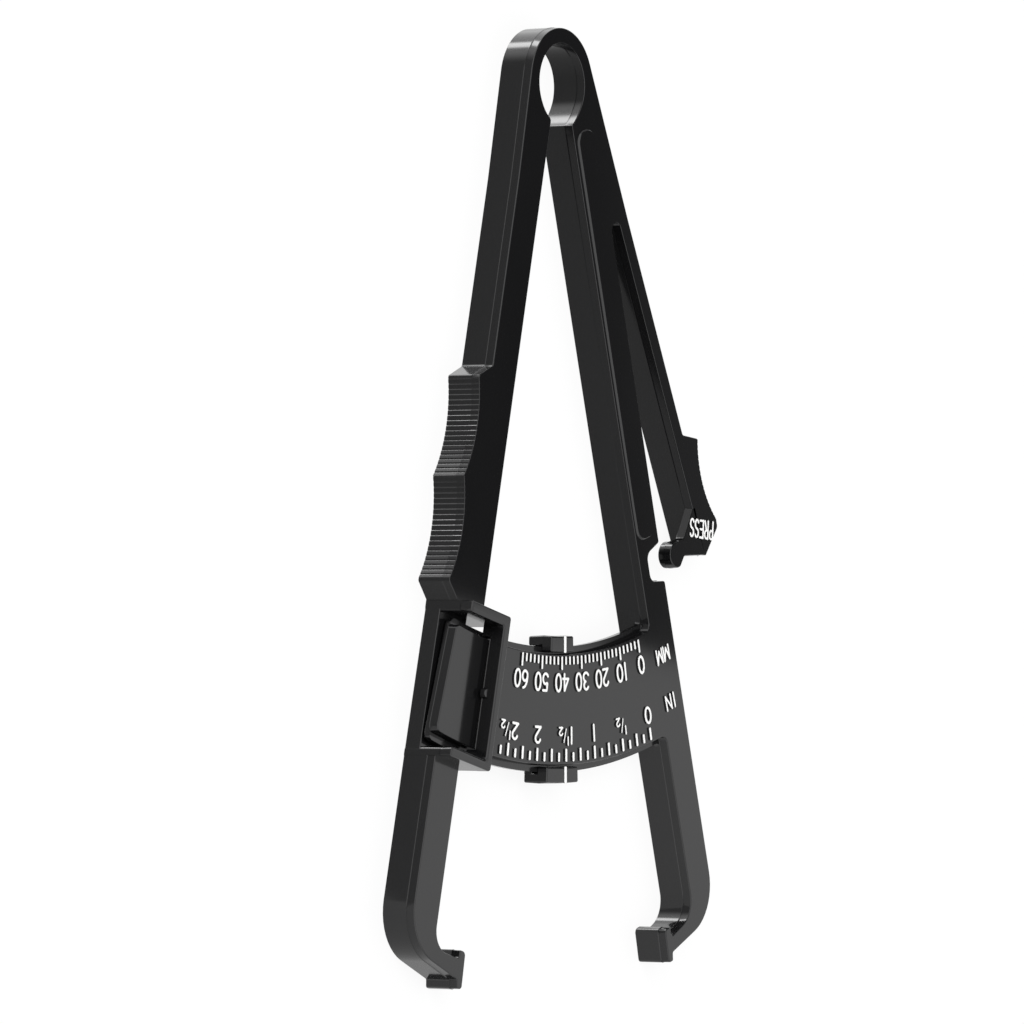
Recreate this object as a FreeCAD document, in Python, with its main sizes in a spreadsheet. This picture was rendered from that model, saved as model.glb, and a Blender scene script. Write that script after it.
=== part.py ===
import FreeCAD, Part
import math
import os
import re
import Sketcher

# Skinfold caliper: one springy moulding with a sliding cursor, in millimetres.
# The origin is the centre of the hanging ring on the back plane. +Y points to the top of the ring, the
# arms hang down along -Y, +X is to the right seen from the front, and +Z points out of the front.

SIZES = {
    # body moulding
    "depth": 6.75,                # back plane to front plane
    "parting_level": 5.0,         # parting line above the back plane
    # spring ring
    "hole_radius": 7.35,
    "ring_wall": 3.0,
    "fork_rounding": 1.0,         # inner corners where the arms leave the hole
    # scale arm, on the right
    "scale_angle": 14.8,          # arm's line from straight down
    "scale_inner": 1.1,           # inner side from the line through the hole's centre
    "scale_width": 7.75,
    "panel_top": 10.4,
    "panel_gap": 5.6,             # from its lower end to the notch's middle
    "panel_inner_rim": 1.5,
    "panel_outer_rim": 1.15,
    "panel_rounding": 2.4,
    "panel_rise": 0.35,           # the long panel stands proud of the arm's front
    # grip arm, on the left
    "grip_angle": 14.8,
    "grip_inner": 1.7,
    "grip_width": 8.0,
    "shank_inner": 2.7,           # lower shank, below the guide
    "shank_width": 8.2,
    # finger grip on the outer side of the grip arm, measured up from the guide's top wall
    "pad_gap": 0.3,
    "pad_tail": 3.3,
    "pad_lower_dish": 18.8,
    "pad_upper_dish": 18.5,
    "pad_ramp": 3.0,
    "pad_height": 3.7,
    "pad_crest": 4.15,
    "scallop_radius": 25.5,
    # jaws
    "jaw_start": 150.0,
    "scale_corner": 11.07,        # outer corner below the jaw's start, before it is rounded
    "scale_slope": 9.9,
    "scale_inner_corner": 9.0,
    "scale_inner_slope": 11.5,
    "scale_tip": 8.85,            # top of the contact face below the jaw's start
    "scale_tip_height": 6.6,
    "scale_contact": 3.25,        # contact face from the arm's line
    "grip_corner": 12.4,
    "grip_slope": 10.5,
    "grip_inner_corner": 11.2,
    "grip_inner_slope": 1.5,
    "grip_tip": 9.85,
    "grip_tip_height": 7.1,
    "grip_contact": 2.6,
    "closed_gap_angle": 0.05,
    "outer_bend": 9.6,
    "inner_bend": 5.0,
    "tip_thickness": 1.9,
    "tip_lean": 0.7,             # the back leans by this over the tip's height
    "tip_rounding": 0.8,
    # press lever
    "lever_angle": 24.5,
    "lever_inner": 6.74,
    "lever_thickness": 3.1,
    "flexure_start": 31.0,
    "flexure_length": 4.0,
    # thumb pad at the lever's end
    "thumb_start": 74.6,
    "thumb_step": 2.6,
    "thumb_height": 4.2,
    "thumb_dish": 16.4,
    "thumb_dish_radius": 20.0,
    "thumb_end_height": 3.7,
    "thumb_corner": 1.7,
    "thumb_rounding": 1.2,
    "thumb_drop": 2.94,
    "thumb_toe": 0.6,
    # latch: a flange on the lever with a round lug that seats in the arm's notch
    "press_travel": 6.6,
    "flange_drop": 13.7,          # below the thumb pad's start
    "flange_reach": 5.4,
    "flange_slant": 3.9,
    "flange_foot": 6.24,
    "lug_depth": 2.5,
    "lug_radius": 2.35,
    "lug_place": 1.7,             # lug's centre past the line through the hole's centre
    "lug_drop": 19.6,             # below the thumb pad's start
    "notch_clearance": 0.4,
    "notch_mouth": 7.2,
    "notch_floor": 5.0,
    "notch_rounding": 1.6,
    # guide window on the grip arm, which the blade runs through
    "guide_wall": 1.8,
    "window_gap": 0.53,           # over the blade's inner rail
    "window_slack": 0.8,          # under its outer rail
    "guide_reach": 2.25,          # walls past the arm's line towards the scale arm
    "guide_side": 0.9,            # its outer side, out from the grip arm's
    "guide_rise": 3.4,            # walls above the front plane
    "back_gap": 1.0,
    "front_bar_width": 1.85,
    "front_bar_gap": 0.33,
    "nub_length": 1.0,
    "nub_width": 1.8,
    "nub_place": 12.5,
    # scale blade
    "blade_inner": 103.9,
    "blade_width": 20.4,
    "blade_back": 3.75,
    "rail_height": 1.2,
    "blade_end_angle": 19.9,
    # marks, raised on the blade
    "mark_rise": 0.32,
    "mark_width": 0.6,
    "mark_margin": 0.5,
    "millimetre_span": 60.0,
    "millimetre_step": 2.0,       # every fifth tick is a long one
    "millimetre_short": 1.55,
    "millimetre_long": 2.5,
    "inch_margin": 0.7,
    "inch_span": 2.625,
    "inch_step": 0.125,           # every second tick is a long one
    "inch_short": 1.7,
    "inch_long": 2.4,
    # cursor
    "reading": 38.5,
    "running_gap": 0.1,
    "clip_wall": 2.0,
    "clip_back": 1.7,
    "clip_rise": 0.25,            # clips above the front plane
    "lip_gap": 0.15,
    "upper_left": 4.6,
    "upper_right": 3.1,
    "lower_left": 6.2,
    "lower_right": 4.4,
    "push_gap": 0.2,              # left between the guide and the cursor at zero
    "index_width": 0.75,
    "index_rise": 0.1,
    "index_inset": 0.1,
}

document = FreeCAD.newDocument("skinfold_caliper")
sheet = document.addObject("Spreadsheet::Sheet", "sizes")
for row, (alias, value) in enumerate(SIZES.items(), start=1):
    sheet.set("A%d" % row, alias)
    sheet.set("B%d" % row, str(value))
    sheet.setAlias("B%d" % row, alias)
document.recompute()

# Formulas made of the sizes, used in more than one place.
RING_RADIUS = "(hole_radius + ring_wall)"
SCALE_OUTER = "(scale_inner + scale_width)"
GRIP_OUTER = "(grip_inner + grip_width)"
SHANK_OUTER = "(shank_inner + shank_width)"
LEVER_OUTER = "(lever_inner + lever_thickness)"
FORK_ANGLE = "(lever_angle - scale_angle)"
FLEXURE_END = "(flexure_start + flexure_length)"
BLADE_OUTER = "(blade_inner + blade_width)"
RAIL_INNER = "(blade_inner - rail_height)"
RAIL_OUTER = "(%s + rail_height)" % BLADE_OUTER
GUIDE_SIDE = "(%s + guide_side)" % GRIP_OUTER
WINDOW_TOP = "(sqrt(%s ^ 2 - %s ^ 2) - window_gap)" % (RAIL_INNER, GUIDE_SIDE)
WINDOW_END = "(%s + window_slack)" % RAIL_OUTER
GUIDE_TOP = "(%s - guide_wall)" % WINDOW_TOP
GUIDE_END = "(%s + guide_wall)" % WINDOW_END
GUIDE_FRONT = "(depth + guide_rise)"
GUIDE_BACK = "(blade_back - back_gap)"
THUMB_TOP = "(thumb_start + thumb_step)"
THUMB_END = "(%s + thumb_dish)" % THUMB_TOP
THUMB_CORNER = "(%s + thumb_corner)" % THUMB_END
THUMB_FOOT = "(%s + thumb_drop)" % THUMB_CORNER
LUG_DISTANCE = "(thumb_start + lug_drop)"
# A reading is the opening between the contact faces, so a millimetre is this angle of the blade.
SCALE_TIP_MIDDLE = "(jaw_start + scale_tip + scale_tip_height / 2)"
GRIP_TIP_MIDDLE = "(jaw_start + grip_tip + grip_tip_height / 2)"
CONTACT_RADIUS = "((%s + %s) / 2)" % (SCALE_TIP_MIDDLE, GRIP_TIP_MIDDLE)
DEGREES_PER_MM = "(180 / pi / %s)" % CONTACT_RADIUS
DEGREES_PER_INCH = "(25.4 * %s)" % DEGREES_PER_MM
# Closed, the guide has pushed the cursor's upper clip to zero.
CLOSED_TURN = "(scale_angle + grip_angle - scale_contact - grip_contact - closed_gap_angle)"
PUSHED_LENGTH = "(guide_reach + upper_left + push_gap)"
ZERO_ANGLE = "(%s - grip_angle + %s * 180 / pi / %s)" % (CLOSED_TURN, PUSHED_LENGTH, RAIL_INNER)
CURSOR_ANGLE = "(%s - reading * %s)" % (ZERO_ANGLE, DEGREES_PER_MM)
# The lever bends in the middle of its flexure, and the lug swings about that point to its seat.
HINGE_X = "(lever_inner + lever_thickness / 2)"
HINGE_Y = "(-flexure_start - flexure_length / 2)"
LUG_RIGHT = "(-lug_place - %s)" % HINGE_X
LUG_UP = "(-%s - %s)" % (LUG_DISTANCE, HINGE_Y)
SEAT_X = "(%s + %s * cos(press_travel) + %s * sin(press_travel))" % (HINGE_X, LUG_RIGHT, LUG_UP)
SEAT_Y = "(%s - %s * sin(press_travel) + %s * cos(press_travel))" % (HINGE_Y, LUG_RIGHT, LUG_UP)
NOTCH_X = "(%s * cos(%s) - %s * sin(%s))" % (SEAT_X, FORK_ANGLE, SEAT_Y, FORK_ANGLE)
NOTCH_Y = "(%s * sin(%s) + %s * cos(%s))" % (SEAT_X, FORK_ANGLE, SEAT_Y, FORK_ANGLE)


def cells(formula):
    """The formula with each size written as a cell of the sheet."""
    return re.sub(r"[a-z_]{3,}", lambda word: "sizes." + word[0] if word[0] in SIZES else word[0], formula)


def number(formula):
    """What the formula gives now."""
    return float(sheet.evalExpression(cells(formula)))


def new_body(name, angle):
    """A body whose own -Y runs at an angle from straight down, swung towards +X."""
    body = document.addObject("PartDesign::Body", name)
    body.Label = name
    body.setExpression("Placement.Rotation.Angle", cells(angle))
    return body


def origin_feature(body, role):
    return [feature for feature in body.Origin.OriginFeatures if feature.Role == role][0]


def new_sketch(body, name, plane, level):
    sketch = body.newObject("Sketcher::SketchObject", name)
    sketch.AttachmentSupport = [(origin_feature(body, plane), "")]
    sketch.MapMode = "FlatFace"
    sketch.setExpression("AttachmentOffset.Base.z", cells(level))
    return sketch


def bind(sketch, kind, geometry, value, formula):
    """A constraint of a sketch, held to a formula of sizes."""
    index = sketch.addConstraint(Sketcher.Constraint(kind, *geometry, value))
    sketch.setExpression("Constraints[%d]" % index, cells(formula))


def hold_point(sketch, geometry, place, corner):
    bind(sketch, "DistanceX", (-1, 1, geometry, place), number(corner[0]), corner[0])
    bind(sketch, "DistanceY", (-1, 1, geometry, place), number(corner[1]), corner[1])


def hollow_arc(start, end, radius):
    """Arc that is dug into the material on the left of the path from start to end."""
    middle = (start + end) * 0.5
    half = (end - start).Length / 2
    left = FreeCAD.Vector(start.y - end.y, end.x - start.x, 0).normalize()
    rise = radius - math.sqrt(radius ** 2 - half ** 2)
    return Part.Arc(end, middle + left * rise, start)


def round_corner(sketch, corner, places, sides):
    """Replaces a corner by an arc tangent to its two sides."""
    place, before, after = places
    radius = number(corner[3])
    backward = (before - place).normalize()
    forward = (after - place).normalize()
    half = backward.getAngle(forward) / 2
    reach = radius / math.tan(half)
    inner = place + (backward + forward).normalize() * (radius / math.sin(half) - radius)
    ends = [place + backward * reach, place + forward * reach]
    first, last = 1, 2
    if backward.cross(forward).z > 0:
        ends.reverse()
        first, last = 2, 1
    arc = sketch.addGeometry(Part.Arc(ends[0], inner, ends[1]), False)
    sketch.addConstraint(Sketcher.Constraint("Tangent", sides[0][0], sides[0][2], arc, first))
    sketch.addConstraint(Sketcher.Constraint("Tangent", arc, last, sides[1][0], sides[1][1]))
    bind(sketch, "Radius", (arc,), radius, corner[3])
    point = sketch.addGeometry(Part.Point(place), True)
    hold_point(sketch, point, 1, corner)
    for side in sides:
        sketch.addConstraint(Sketcher.Constraint("PointOnObject", point, 1, side[0]))


def outline(body, name, corners, level="0", plane="XY_Plane"):
    """Closed outline, counterclockwise. A corner is (x, y), or (x, y, "round", radius), or
    (x, y, "arc", radius) where a hollow arc runs from it to the next corner."""
    sketch = new_sketch(body, name, plane, level)
    places = [FreeCAD.Vector(number(corner[0]), number(corner[1]), 0) for corner in corners]
    places.append(places[0])
    sides = []
    for corner, start, end in zip(corners, places, places[1:]):
        if corner[2:3] == ("arc",):
            arc = sketch.addGeometry(hollow_arc(start, end, number(corner[3])), False)
            bind(sketch, "Radius", (arc,), number(corner[3]), corner[3])
            sides.append((arc, 2, 1))
        else:
            sides.append((sketch.addGeometry(Part.LineSegment(start, end), False), 1, 2))
    for i, corner in enumerate(corners):
        before, after = sides[i - 1], sides[i]
        if corner[2:3] == ("round",):
            before_place = places[i - 1] if i else places[-2]
            round_corner(sketch, corner, (places[i], before_place, places[i + 1]), (before, after))
        else:
            sketch.addConstraint(Sketcher.Constraint("Coincident", before[0], before[2], after[0], after[1]))
            hold_point(sketch, after[0], after[1], corner)
    return sketch


def circle(body, name, centre, radius, level="0"):
    sketch = new_sketch(body, name, "XY_Plane", level)
    place = FreeCAD.Vector(number(centre[0]), number(centre[1]), 0)
    ring = sketch.addGeometry(Part.Circle(place, FreeCAD.Vector(0, 0, 1), number(radius)), False)
    bind(sketch, "Radius", (ring,), number(radius), radius)
    hold_point(sketch, ring, 3, centre)
    return sketch


def rectangle(left, bottom, right, top):
    return [(left, bottom), (right, bottom), (right, top), (left, top)]


def pad(body, name, profile, length):
    feature = body.newObject("PartDesign::Pad", name)
    feature.Profile = profile
    feature.setExpression("Length", cells(length))
    document.recompute()
    return feature


def pocket(body, name, profile, deep):
    """Cuts down from the profile's level, and makes sure that it met the solid."""
    before = body.Shape.Volume
    feature = body.newObject("PartDesign::Pocket", name)
    feature.Profile = profile
    feature.setExpression("Length", cells(deep))
    document.recompute()
    if not feature.Shape.Volume < before:
        raise RuntimeError(name + " cuts nothing")
    return feature


def revolve(body, name, profile, forward, backward="0"):
    """Turns a section about the hole's axis, forward counterclockwise seen from the front."""
    feature = body.newObject("PartDesign::Revolution", name)
    feature.Profile = profile
    feature.ReferenceAxis = (origin_feature(body, "Z_Axis"), [""])
    feature.Type = "TwoAngles" if backward != "0" else "Angle"
    feature.setExpression("Angle", cells(forward))
    if backward != "0":
        feature.setExpression("Angle2", cells(backward))
    document.recompute()
    return feature


def round_edge(body, name, x, y, radius):
    """Rounds the edge that runs front to back through a point of the body's own frame."""
    edges = body.Tip.Shape.Edges
    place = FreeCAD.Vector(number(x), number(y), 0)
    distances = []
    for edge in edges:
        ends = [vertex.Point for vertex in edge.Vertexes]
        spread = [(FreeCAD.Vector(end.x, end.y, 0) - place).Length for end in ends]
        distances.append(max(spread))
    nearest = distances.index(min(distances)) + 1
    feature = body.newObject("PartDesign::Fillet", name)
    feature.Base = (body.Group[-2], ["Edge%d" % nearest])
    feature.setExpression("Radius", cells(radius))
    document.recompute()
    return feature


def drill_ring_hole(body):
    pocket(body, "ring_hole", circle(body, "ring_hole_line", ("0", "0"), "hole_radius", "depth"), "depth")


# ---- scale side, which holds still -------------------------------------------------------------

def make_scale_arm():
    body = new_body("scale_arm", "scale_angle")
    shank = rectangle("scale_inner", "-jaw_start", SCALE_OUTER, "0")
    pad(body, "arm_pad", outline(body, "arm_outline", shank), "depth")
    drill_ring_hole(body)
    corner = "-sqrt(hole_radius ^ 2 - scale_inner ^ 2)"
    round_edge(body, "arm_fork_rounding", "scale_inner", corner, "fork_rounding")
    floor = "(%s - lug_radius - notch_clearance)" % NOTCH_X
    mouth = "(%s + notch_floor)" % SCALE_OUTER
    flare = "((notch_mouth - notch_floor) / 2 * (1 + notch_floor / (%s - %s)))" % (SCALE_OUTER, floor)
    notch = [
        (floor, "%s - notch_floor / 2" % NOTCH_Y, "round", "notch_rounding"),
        (mouth, "%s - notch_floor / 2 - %s" % (NOTCH_Y, flare)),
        (mouth, "%s + notch_floor / 2 + %s" % (NOTCH_Y, flare)),
        (floor, "%s + notch_floor / 2" % NOTCH_Y, "round", "notch_rounding"),
    ]
    pocket(body, "notch", outline(body, "notch_outline", notch, "depth"), "depth")
    panel = rectangle("scale_inner + panel_inner_rim", "%s + panel_gap" % NOTCH_Y,
                      "%s - panel_outer_rim" % SCALE_OUTER, "-panel_top")
    panel = [corner + ("round", "panel_rounding") for corner in panel]
    pad(body, "panel_pad", outline(body, "panel_outline", panel, "depth"), "panel_rise")
    return body


def make_lever_root():
    """Solid web between the ring, the scale arm and the lever, down to the round end of the slit."""
    body = new_body("lever_root", "lever_angle")
    arm_x = "(%s - flexure_start * sin(%s)) / cos(%s)" % (SCALE_OUTER, FORK_ANGLE, FORK_ANGLE)
    slit_radius = "0.53 * (lever_inner - %s)" % arm_x
    corners = [
        (LEVER_OUTER, "-flexure_start"),
        (RING_RADIUS, "0"),
        ("0", "0"),
        ("%s * cos(%s)" % (SCALE_OUTER, FORK_ANGLE), "-%s * sin(%s)" % (SCALE_OUTER, FORK_ANGLE)),
        (arm_x, "-flexure_start", "arc", slit_radius),
        ("lever_inner", "-flexure_start"),
    ]
    pad(body, "web_pad", outline(body, "web_outline", corners), "depth")
    drill_ring_hole(body)
    return body


def make_spring_ring():
    """Springy ring, from the lever's side over the top to the grip arm."""
    body = new_body("spring_ring", "lever_angle")
    section = rectangle("hole_radius", "0", RING_RADIUS, "depth")
    section = outline(body, "ring_section", section, plane="XZ_Plane")
    revolve(body, "ring_sweep", section, "180 - lever_angle - grip_angle")
    return body


def make_lever_flexure():
    body = new_body("lever_flexure", "lever_angle")
    bar = rectangle("lever_inner", "-%s" % FLEXURE_END, LEVER_OUTER, "-flexure_start")
    pad(body, "flexure_pad", outline(body, "flexure_outline", bar), "depth")
    return body


def make_scale_blade():
    """Curved blade about the hole's axis with a thin rail along each edge; its root meets the arm."""
    body = new_body("scale_blade", "scale_angle - 90")
    corners = [
        (RAIL_INNER, "blade_back"), (RAIL_OUTER, "blade_back"),
        (RAIL_OUTER, "parting_level"), (BLADE_OUTER, "parting_level"),
        (BLADE_OUTER, "depth"), ("blade_inner", "depth"),
        ("blade_inner", "parting_level"), (RAIL_INNER, "parting_level"),
    ]
    section = outline(body, "blade_section", corners, plane="XZ_Plane")
    root = "(2 * scale_inner / %s * 180 / pi)" % RAIL_INNER
    revolve(body, "blade_sweep", section, root, "scale_angle + blade_end_angle")
    beyond = rectangle("0", "scale_inner", "2 * %s" % RAIL_OUTER, "scale_inner + %s" % RAIL_OUTER)
    pocket(body, "arm_side", outline(body, "arm_side_outline", beyond, "depth"), "depth")
    return body


def make_jaw(name, angle, side, inner, outer, sizes):
    """Jaw turned in at the end of an arm; side is 1 where the arm's outer side faces +X."""
    tip_top = "(jaw_start + SIDE_tip)"
    tip_end = "(jaw_start + SIDE_tip + SIDE_tip_height)"
    back = "(tip_thickness - (jaw_start + SIDE_tip + SIDE_tip_height / 2) * tan(SIDE_contact))"
    neck_top = "jaw_start + SIDE_inner_corner + (%s - %s) * tan(SIDE_inner_slope)" % (inner, back)
    neck_end = "jaw_start + SIDE_corner + (%s - %s) * tan(SIDE_slope)" % (outer, back)
    corners = [
        (inner, "jaw_start"),
        (inner, "jaw_start + SIDE_inner_corner", "round", "inner_bend"),
        (back, neck_top),
        (back + " + tip_lean / 2", tip_top),
        ("-%s * tan(SIDE_contact)" % tip_top, tip_top, "round", "tip_rounding"),
        ("-%s * tan(SIDE_contact)" % tip_end, tip_end, "round", "tip_rounding"),
        (back + " - tip_lean / 2", tip_end),
        (back, neck_end),
        (outer, "jaw_start + SIDE_corner", "round", "outer_bend"),
        (outer, "jaw_start"),
    ]
    if side < 0:
        corners.reverse()
    placed = []
    for corner in corners:
        x = "%d * (%s)" % (side, corner[0])
        y = "-(%s)" % corner[1]
        placed.append(tuple(part.replace("SIDE", sizes) for part in (x, y) + corner[2:]))
    body = new_body(name, angle)
    pad(body, "jaw_pad", outline(body, "jaw_outline", placed), "depth")
    return body


def make_ticks(name, unit_angle, span, step, long_step, start, short, long, grows):
    """Raised ticks from zero leftwards, short ones at every step and longer ones over them."""
    body = new_body(name, ZERO_ANGLE + " - 90")
    for kind, length, every in (("short", short, step), ("long", long, long_step)):
        inner, outer = (start, "%s + %s" % (start, length)) if grows else ("%s - %s" % (start, length), start)
        tick = rectangle(inner, "-mark_width / 2", outer, "mark_width / 2")
        mark = pad(body, kind + "_tick", outline(body, kind + "_line", tick, "depth"), "mark_rise")
        row = body.newObject("PartDesign::PolarPattern", kind + "_row")
        row.Originals = [mark]
        row.Axis = (origin_feature(body, "Z_Axis"), [""])
        row.Reversed = True
        count = "floor(%s / %s + 0.001)" % (span, every)
        row.setExpression("Angle", cells("%s * %s * %s" % (count, every, unit_angle)))
        row.setExpression("Occurrences", cells("%s + 1" % count))
        body.Tip = row
        document.recompute()
    return body


# ---- press lever, which swings on its flexure --------------------------------------------------

def make_press_lever():
    body = new_body("press_lever", "lever_angle")
    bar = rectangle("lever_inner", "-thumb_start", LEVER_OUTER, "-%s" % FLEXURE_END)
    pad(body, "lever_pad", outline(body, "lever_outline", bar), "depth")
    return body


def make_thumb_pad():
    body = new_body("thumb_pad", "lever_angle")
    end = "%s + thumb_end_height" % LEVER_OUTER
    corners = [
        ("lever_inner", "-%s" % THUMB_FOOT),
        ("lever_inner + thumb_toe", "-%s - thumb_toe * tan(lever_angle)" % THUMB_FOOT),
        (end, "-%s" % THUMB_CORNER, "round", "thumb_rounding"),
        (end, "-%s" % THUMB_END, "arc", "thumb_dish_radius"),
        ("%s + thumb_height" % LEVER_OUTER, "-%s" % THUMB_TOP),
        (LEVER_OUTER, "-thumb_start"),
        ("lever_inner", "-thumb_start"),
    ]
    pad(body, "thumb_solid", outline(body, "thumb_outline", corners), "depth")
    return body


def make_latch_lug():
    """Thin flange in front with a round lug at its end, which swings into the arm's notch."""
    body = new_body("latch_lug", "lever_angle")
    corners = [
        ("lever_inner", "-%s" % THUMB_FOOT),
        ("lever_inner", "-thumb_start - flange_drop"),
        ("lever_inner - flange_reach", "-thumb_start - flange_drop - flange_slant"),
        ("-lug_place", "lug_radius - %s" % LUG_DISTANCE),
        ("-lug_place", "-lug_radius - %s" % LUG_DISTANCE),
        ("lever_inner - flange_foot", "flange_foot * tan(lever_angle) - %s" % THUMB_FOOT),
    ]
    flange = outline(body, "flange_outline", corners, "parting_level")
    pad(body, "flange_pad", flange, "depth - parting_level")
    centre = ("-lug_place", "-%s" % LUG_DISTANCE)
    lug = circle(body, "lug_line", centre, "lug_radius", "depth - lug_depth")
    pad(body, "lug_pad", lug, "lug_depth")
    return body


# ---- grip side, which swings on the spring ring ------------------------------------------------

def make_grip_arm():
    body = new_body("grip_arm", "-grip_angle")
    corners = [
        ("-%s" % GRIP_OUTER, "-%s" % GUIDE_TOP),
        ("-grip_inner", "-%s" % GUIDE_TOP),
        ("-grip_inner", "0"),
        ("-%s" % RING_RADIUS, "0"),
        ("-%s" % GRIP_OUTER, "-2 * %s" % RING_RADIUS),
    ]
    pad(body, "arm_pad", outline(body, "arm_outline", corners), "depth")
    drill_ring_hole(body)
    corner = "-sqrt(hole_radius ^ 2 - grip_inner ^ 2)"
    round_edge(body, "arm_fork_rounding", "-grip_inner", corner, "fork_rounding")
    return body


def make_finger_grip():
    """Two shallow scallops for the fingers on the arm's outer side."""
    body = new_body("finger_grip", "-grip_angle")
    crest = "-%s - pad_crest" % GRIP_OUTER
    end = "pad_gap - %s" % GUIDE_TOP
    tail = "%s + pad_tail" % end
    peak = "%s + pad_lower_dish" % tail
    top = "%s + pad_upper_dish" % peak
    corners = [
        ("-%s" % GRIP_OUTER, end),
        ("-%s" % GRIP_OUTER, "%s + pad_ramp" % top),
        ("-%s - pad_height" % GRIP_OUTER, top, "arc", "scallop_radius"),
        (crest, peak, "arc", "scallop_radius"),
        (crest, tail),
        ("-%s" % GUIDE_SIDE, end),
    ]
    pad(body, "grip_solid", outline(body, "grip_outline", corners), "depth")
    return body


def make_guide_wall(name, top, end):
    body = new_body(name, "-grip_angle")
    wall = rectangle("-%s" % GUIDE_SIDE, "-%s" % end, "guide_reach", "-%s" % top)
    pad(body, "wall_pad", outline(body, "wall_outline", wall), GUIDE_FRONT)
    return body


def make_guide_back():
    body = new_body("guide_back_plate", "-grip_angle")
    plate = rectangle("-%s" % GUIDE_SIDE, "-%s" % WINDOW_END, "-grip_inner", "-%s" % WINDOW_TOP)
    pad(body, "plate_pad", outline(body, "plate_outline", plate), GUIDE_BACK)
    return body


def make_front_bar():
    """Bar across the window in front of the blade, with a small nub on its inner edge."""
    body = new_body("guide_front_bar", "-grip_angle")
    inner = "(guide_reach - front_bar_width)"
    level = "depth + mark_rise + front_bar_gap"
    thickness = "guide_rise - mark_rise - front_bar_gap"
    middle = "(%s + nub_place)" % WINDOW_TOP
    bar = rectangle(inner, "-%s" % WINDOW_END, "guide_reach", "-%s" % WINDOW_TOP)
    pad(body, "bar_pad", outline(body, "bar_outline", bar, level), thickness)
    nub = rectangle("%s - nub_length" % inner, "-%s - nub_width / 2" % middle,
                    inner, "-%s + nub_width / 2" % middle)
    pad(body, "nub_pad", outline(body, "nub_outline", nub, level), thickness)
    return body


def make_grip_shank():
    body = new_body("grip_shank", "-grip_angle")
    shank = rectangle("-%s" % SHANK_OUTER, "-jaw_start", "-shank_inner", "-%s" % GUIDE_END)
    pad(body, "shank_pad", outline(body, "shank_outline", shank), "depth")
    return body


# ---- cursor, which rides on the blade ----------------------------------------------------------

def make_cursor():
    """Two clips hook round the blade's rails, and a bridge joins them behind the blade."""
    body = new_body("cursor", CURSOR_ANGLE + " - 90")
    front_of_bridge = "(blade_back - running_gap)"
    back = "(%s - clip_back)" % front_of_bridge
    lip = "(parting_level + running_gap)"
    upper = "(%s - running_gap)" % RAIL_INNER
    lower = "(%s + running_gap)" % RAIL_OUTER
    front = "(depth + clip_rise)"
    corners = [
        ("%s - clip_wall" % upper, back), (upper, back), (upper, lip),
        ("blade_inner - lip_gap", lip), ("blade_inner - lip_gap", front),
        ("%s - clip_wall" % upper, front),
    ]
    section = outline(body, "upper_section", corners, plane="XZ_Plane")
    degrees = "180 / pi / "
    revolve(body, "upper_clip", section, "upper_right * %s%s" % (degrees, upper),
            "upper_left * %s%s" % (degrees, upper))
    corners = [
        (lower, back), ("%s + clip_wall" % lower, back), ("%s + clip_wall" % lower, front),
        ("%s + lip_gap" % BLADE_OUTER, front), ("%s + lip_gap" % BLADE_OUTER, lip), (lower, lip),
    ]
    section = outline(body, "lower_section", corners, plane="XZ_Plane")
    revolve(body, "lower_clip", section, "lower_right * %s%s" % (degrees, lower),
            "lower_left * %s%s" % (degrees, lower))
    near = "%s - clip_wall / 2" % upper
    far = "%s + clip_wall / 2" % lower
    bridge = [(near, "-upper_left"), (far, "-lower_left"), (far, "lower_right"), (near, "upper_right")]
    pad(body, "bridge", outline(body, "bridge_outline", bridge, back), "clip_back")
    return body


def make_index_marks():
    """White line down the front of each clip."""
    body = new_body("index_marks", CURSOR_ANGLE + " - 90")
    upper = rectangle("%s - running_gap - clip_wall + index_inset" % RAIL_INNER, "-index_width / 2",
                      "blade_inner - lip_gap", "index_width / 2")
    lower = rectangle("%s + lip_gap" % BLADE_OUTER, "-index_width / 2",
                      "%s + running_gap + clip_wall - index_inset" % RAIL_OUTER, "index_width / 2")
    for name, mark in (("upper_index", upper), ("lower_index", lower)):
        pad(body, name, outline(body, name + "_outline", mark, "depth + clip_rise"), "index_rise")
    return body


nodes = [
    make_scale_arm(),
    make_lever_root(),
    make_spring_ring(),
    make_lever_flexure(),
    make_scale_blade(),
    make_jaw("scale_jaw", "scale_angle", 1, "scale_inner", SCALE_OUTER, "scale"),
    make_ticks("millimetre_ticks", DEGREES_PER_MM, "millimetre_span", "millimetre_step",
               "(5 * millimetre_step)", "(blade_inner + mark_margin)", "millimetre_short",
               "millimetre_long", True),
    make_ticks("inch_ticks", DEGREES_PER_INCH, "inch_span", "inch_step", "(2 * inch_step)",
               "(%s - inch_margin)" % BLADE_OUTER, "inch_short", "inch_long", False),
    make_press_lever(),
    make_thumb_pad(),
    make_latch_lug(),
    make_grip_arm(),
    make_finger_grip(),
    make_guide_wall("guide_top_wall", GUIDE_TOP, WINDOW_TOP),
    make_guide_wall("guide_bottom_wall", WINDOW_END, GUIDE_END),
    make_guide_back(),
    make_front_bar(),
    make_grip_shank(),
    make_jaw("grip_jaw", "-grip_angle", -1, "shank_inner", SHANK_OUTER, "grip"),
    make_cursor(),
    make_index_marks(),
]

document.recompute()
for item in document.Objects:
    if "Invalid" in item.State or "Error" in item.State:
        raise RuntimeError(item.Name + " failed")
for node in nodes:
    if node.Shape.isNull() or not node.Shape.isValid():
        raise RuntimeError(node.Label + " has no valid shape")

os.makedirs("parts", exist_ok=True)
for node in nodes:
    node.Shape.exportStep("parts/%s.step" % node.Label)
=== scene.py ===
import math

import bmesh
import bpy
from mathutils import Matrix, Vector
from mathutils.geometry import tessellate_polygon


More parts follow.
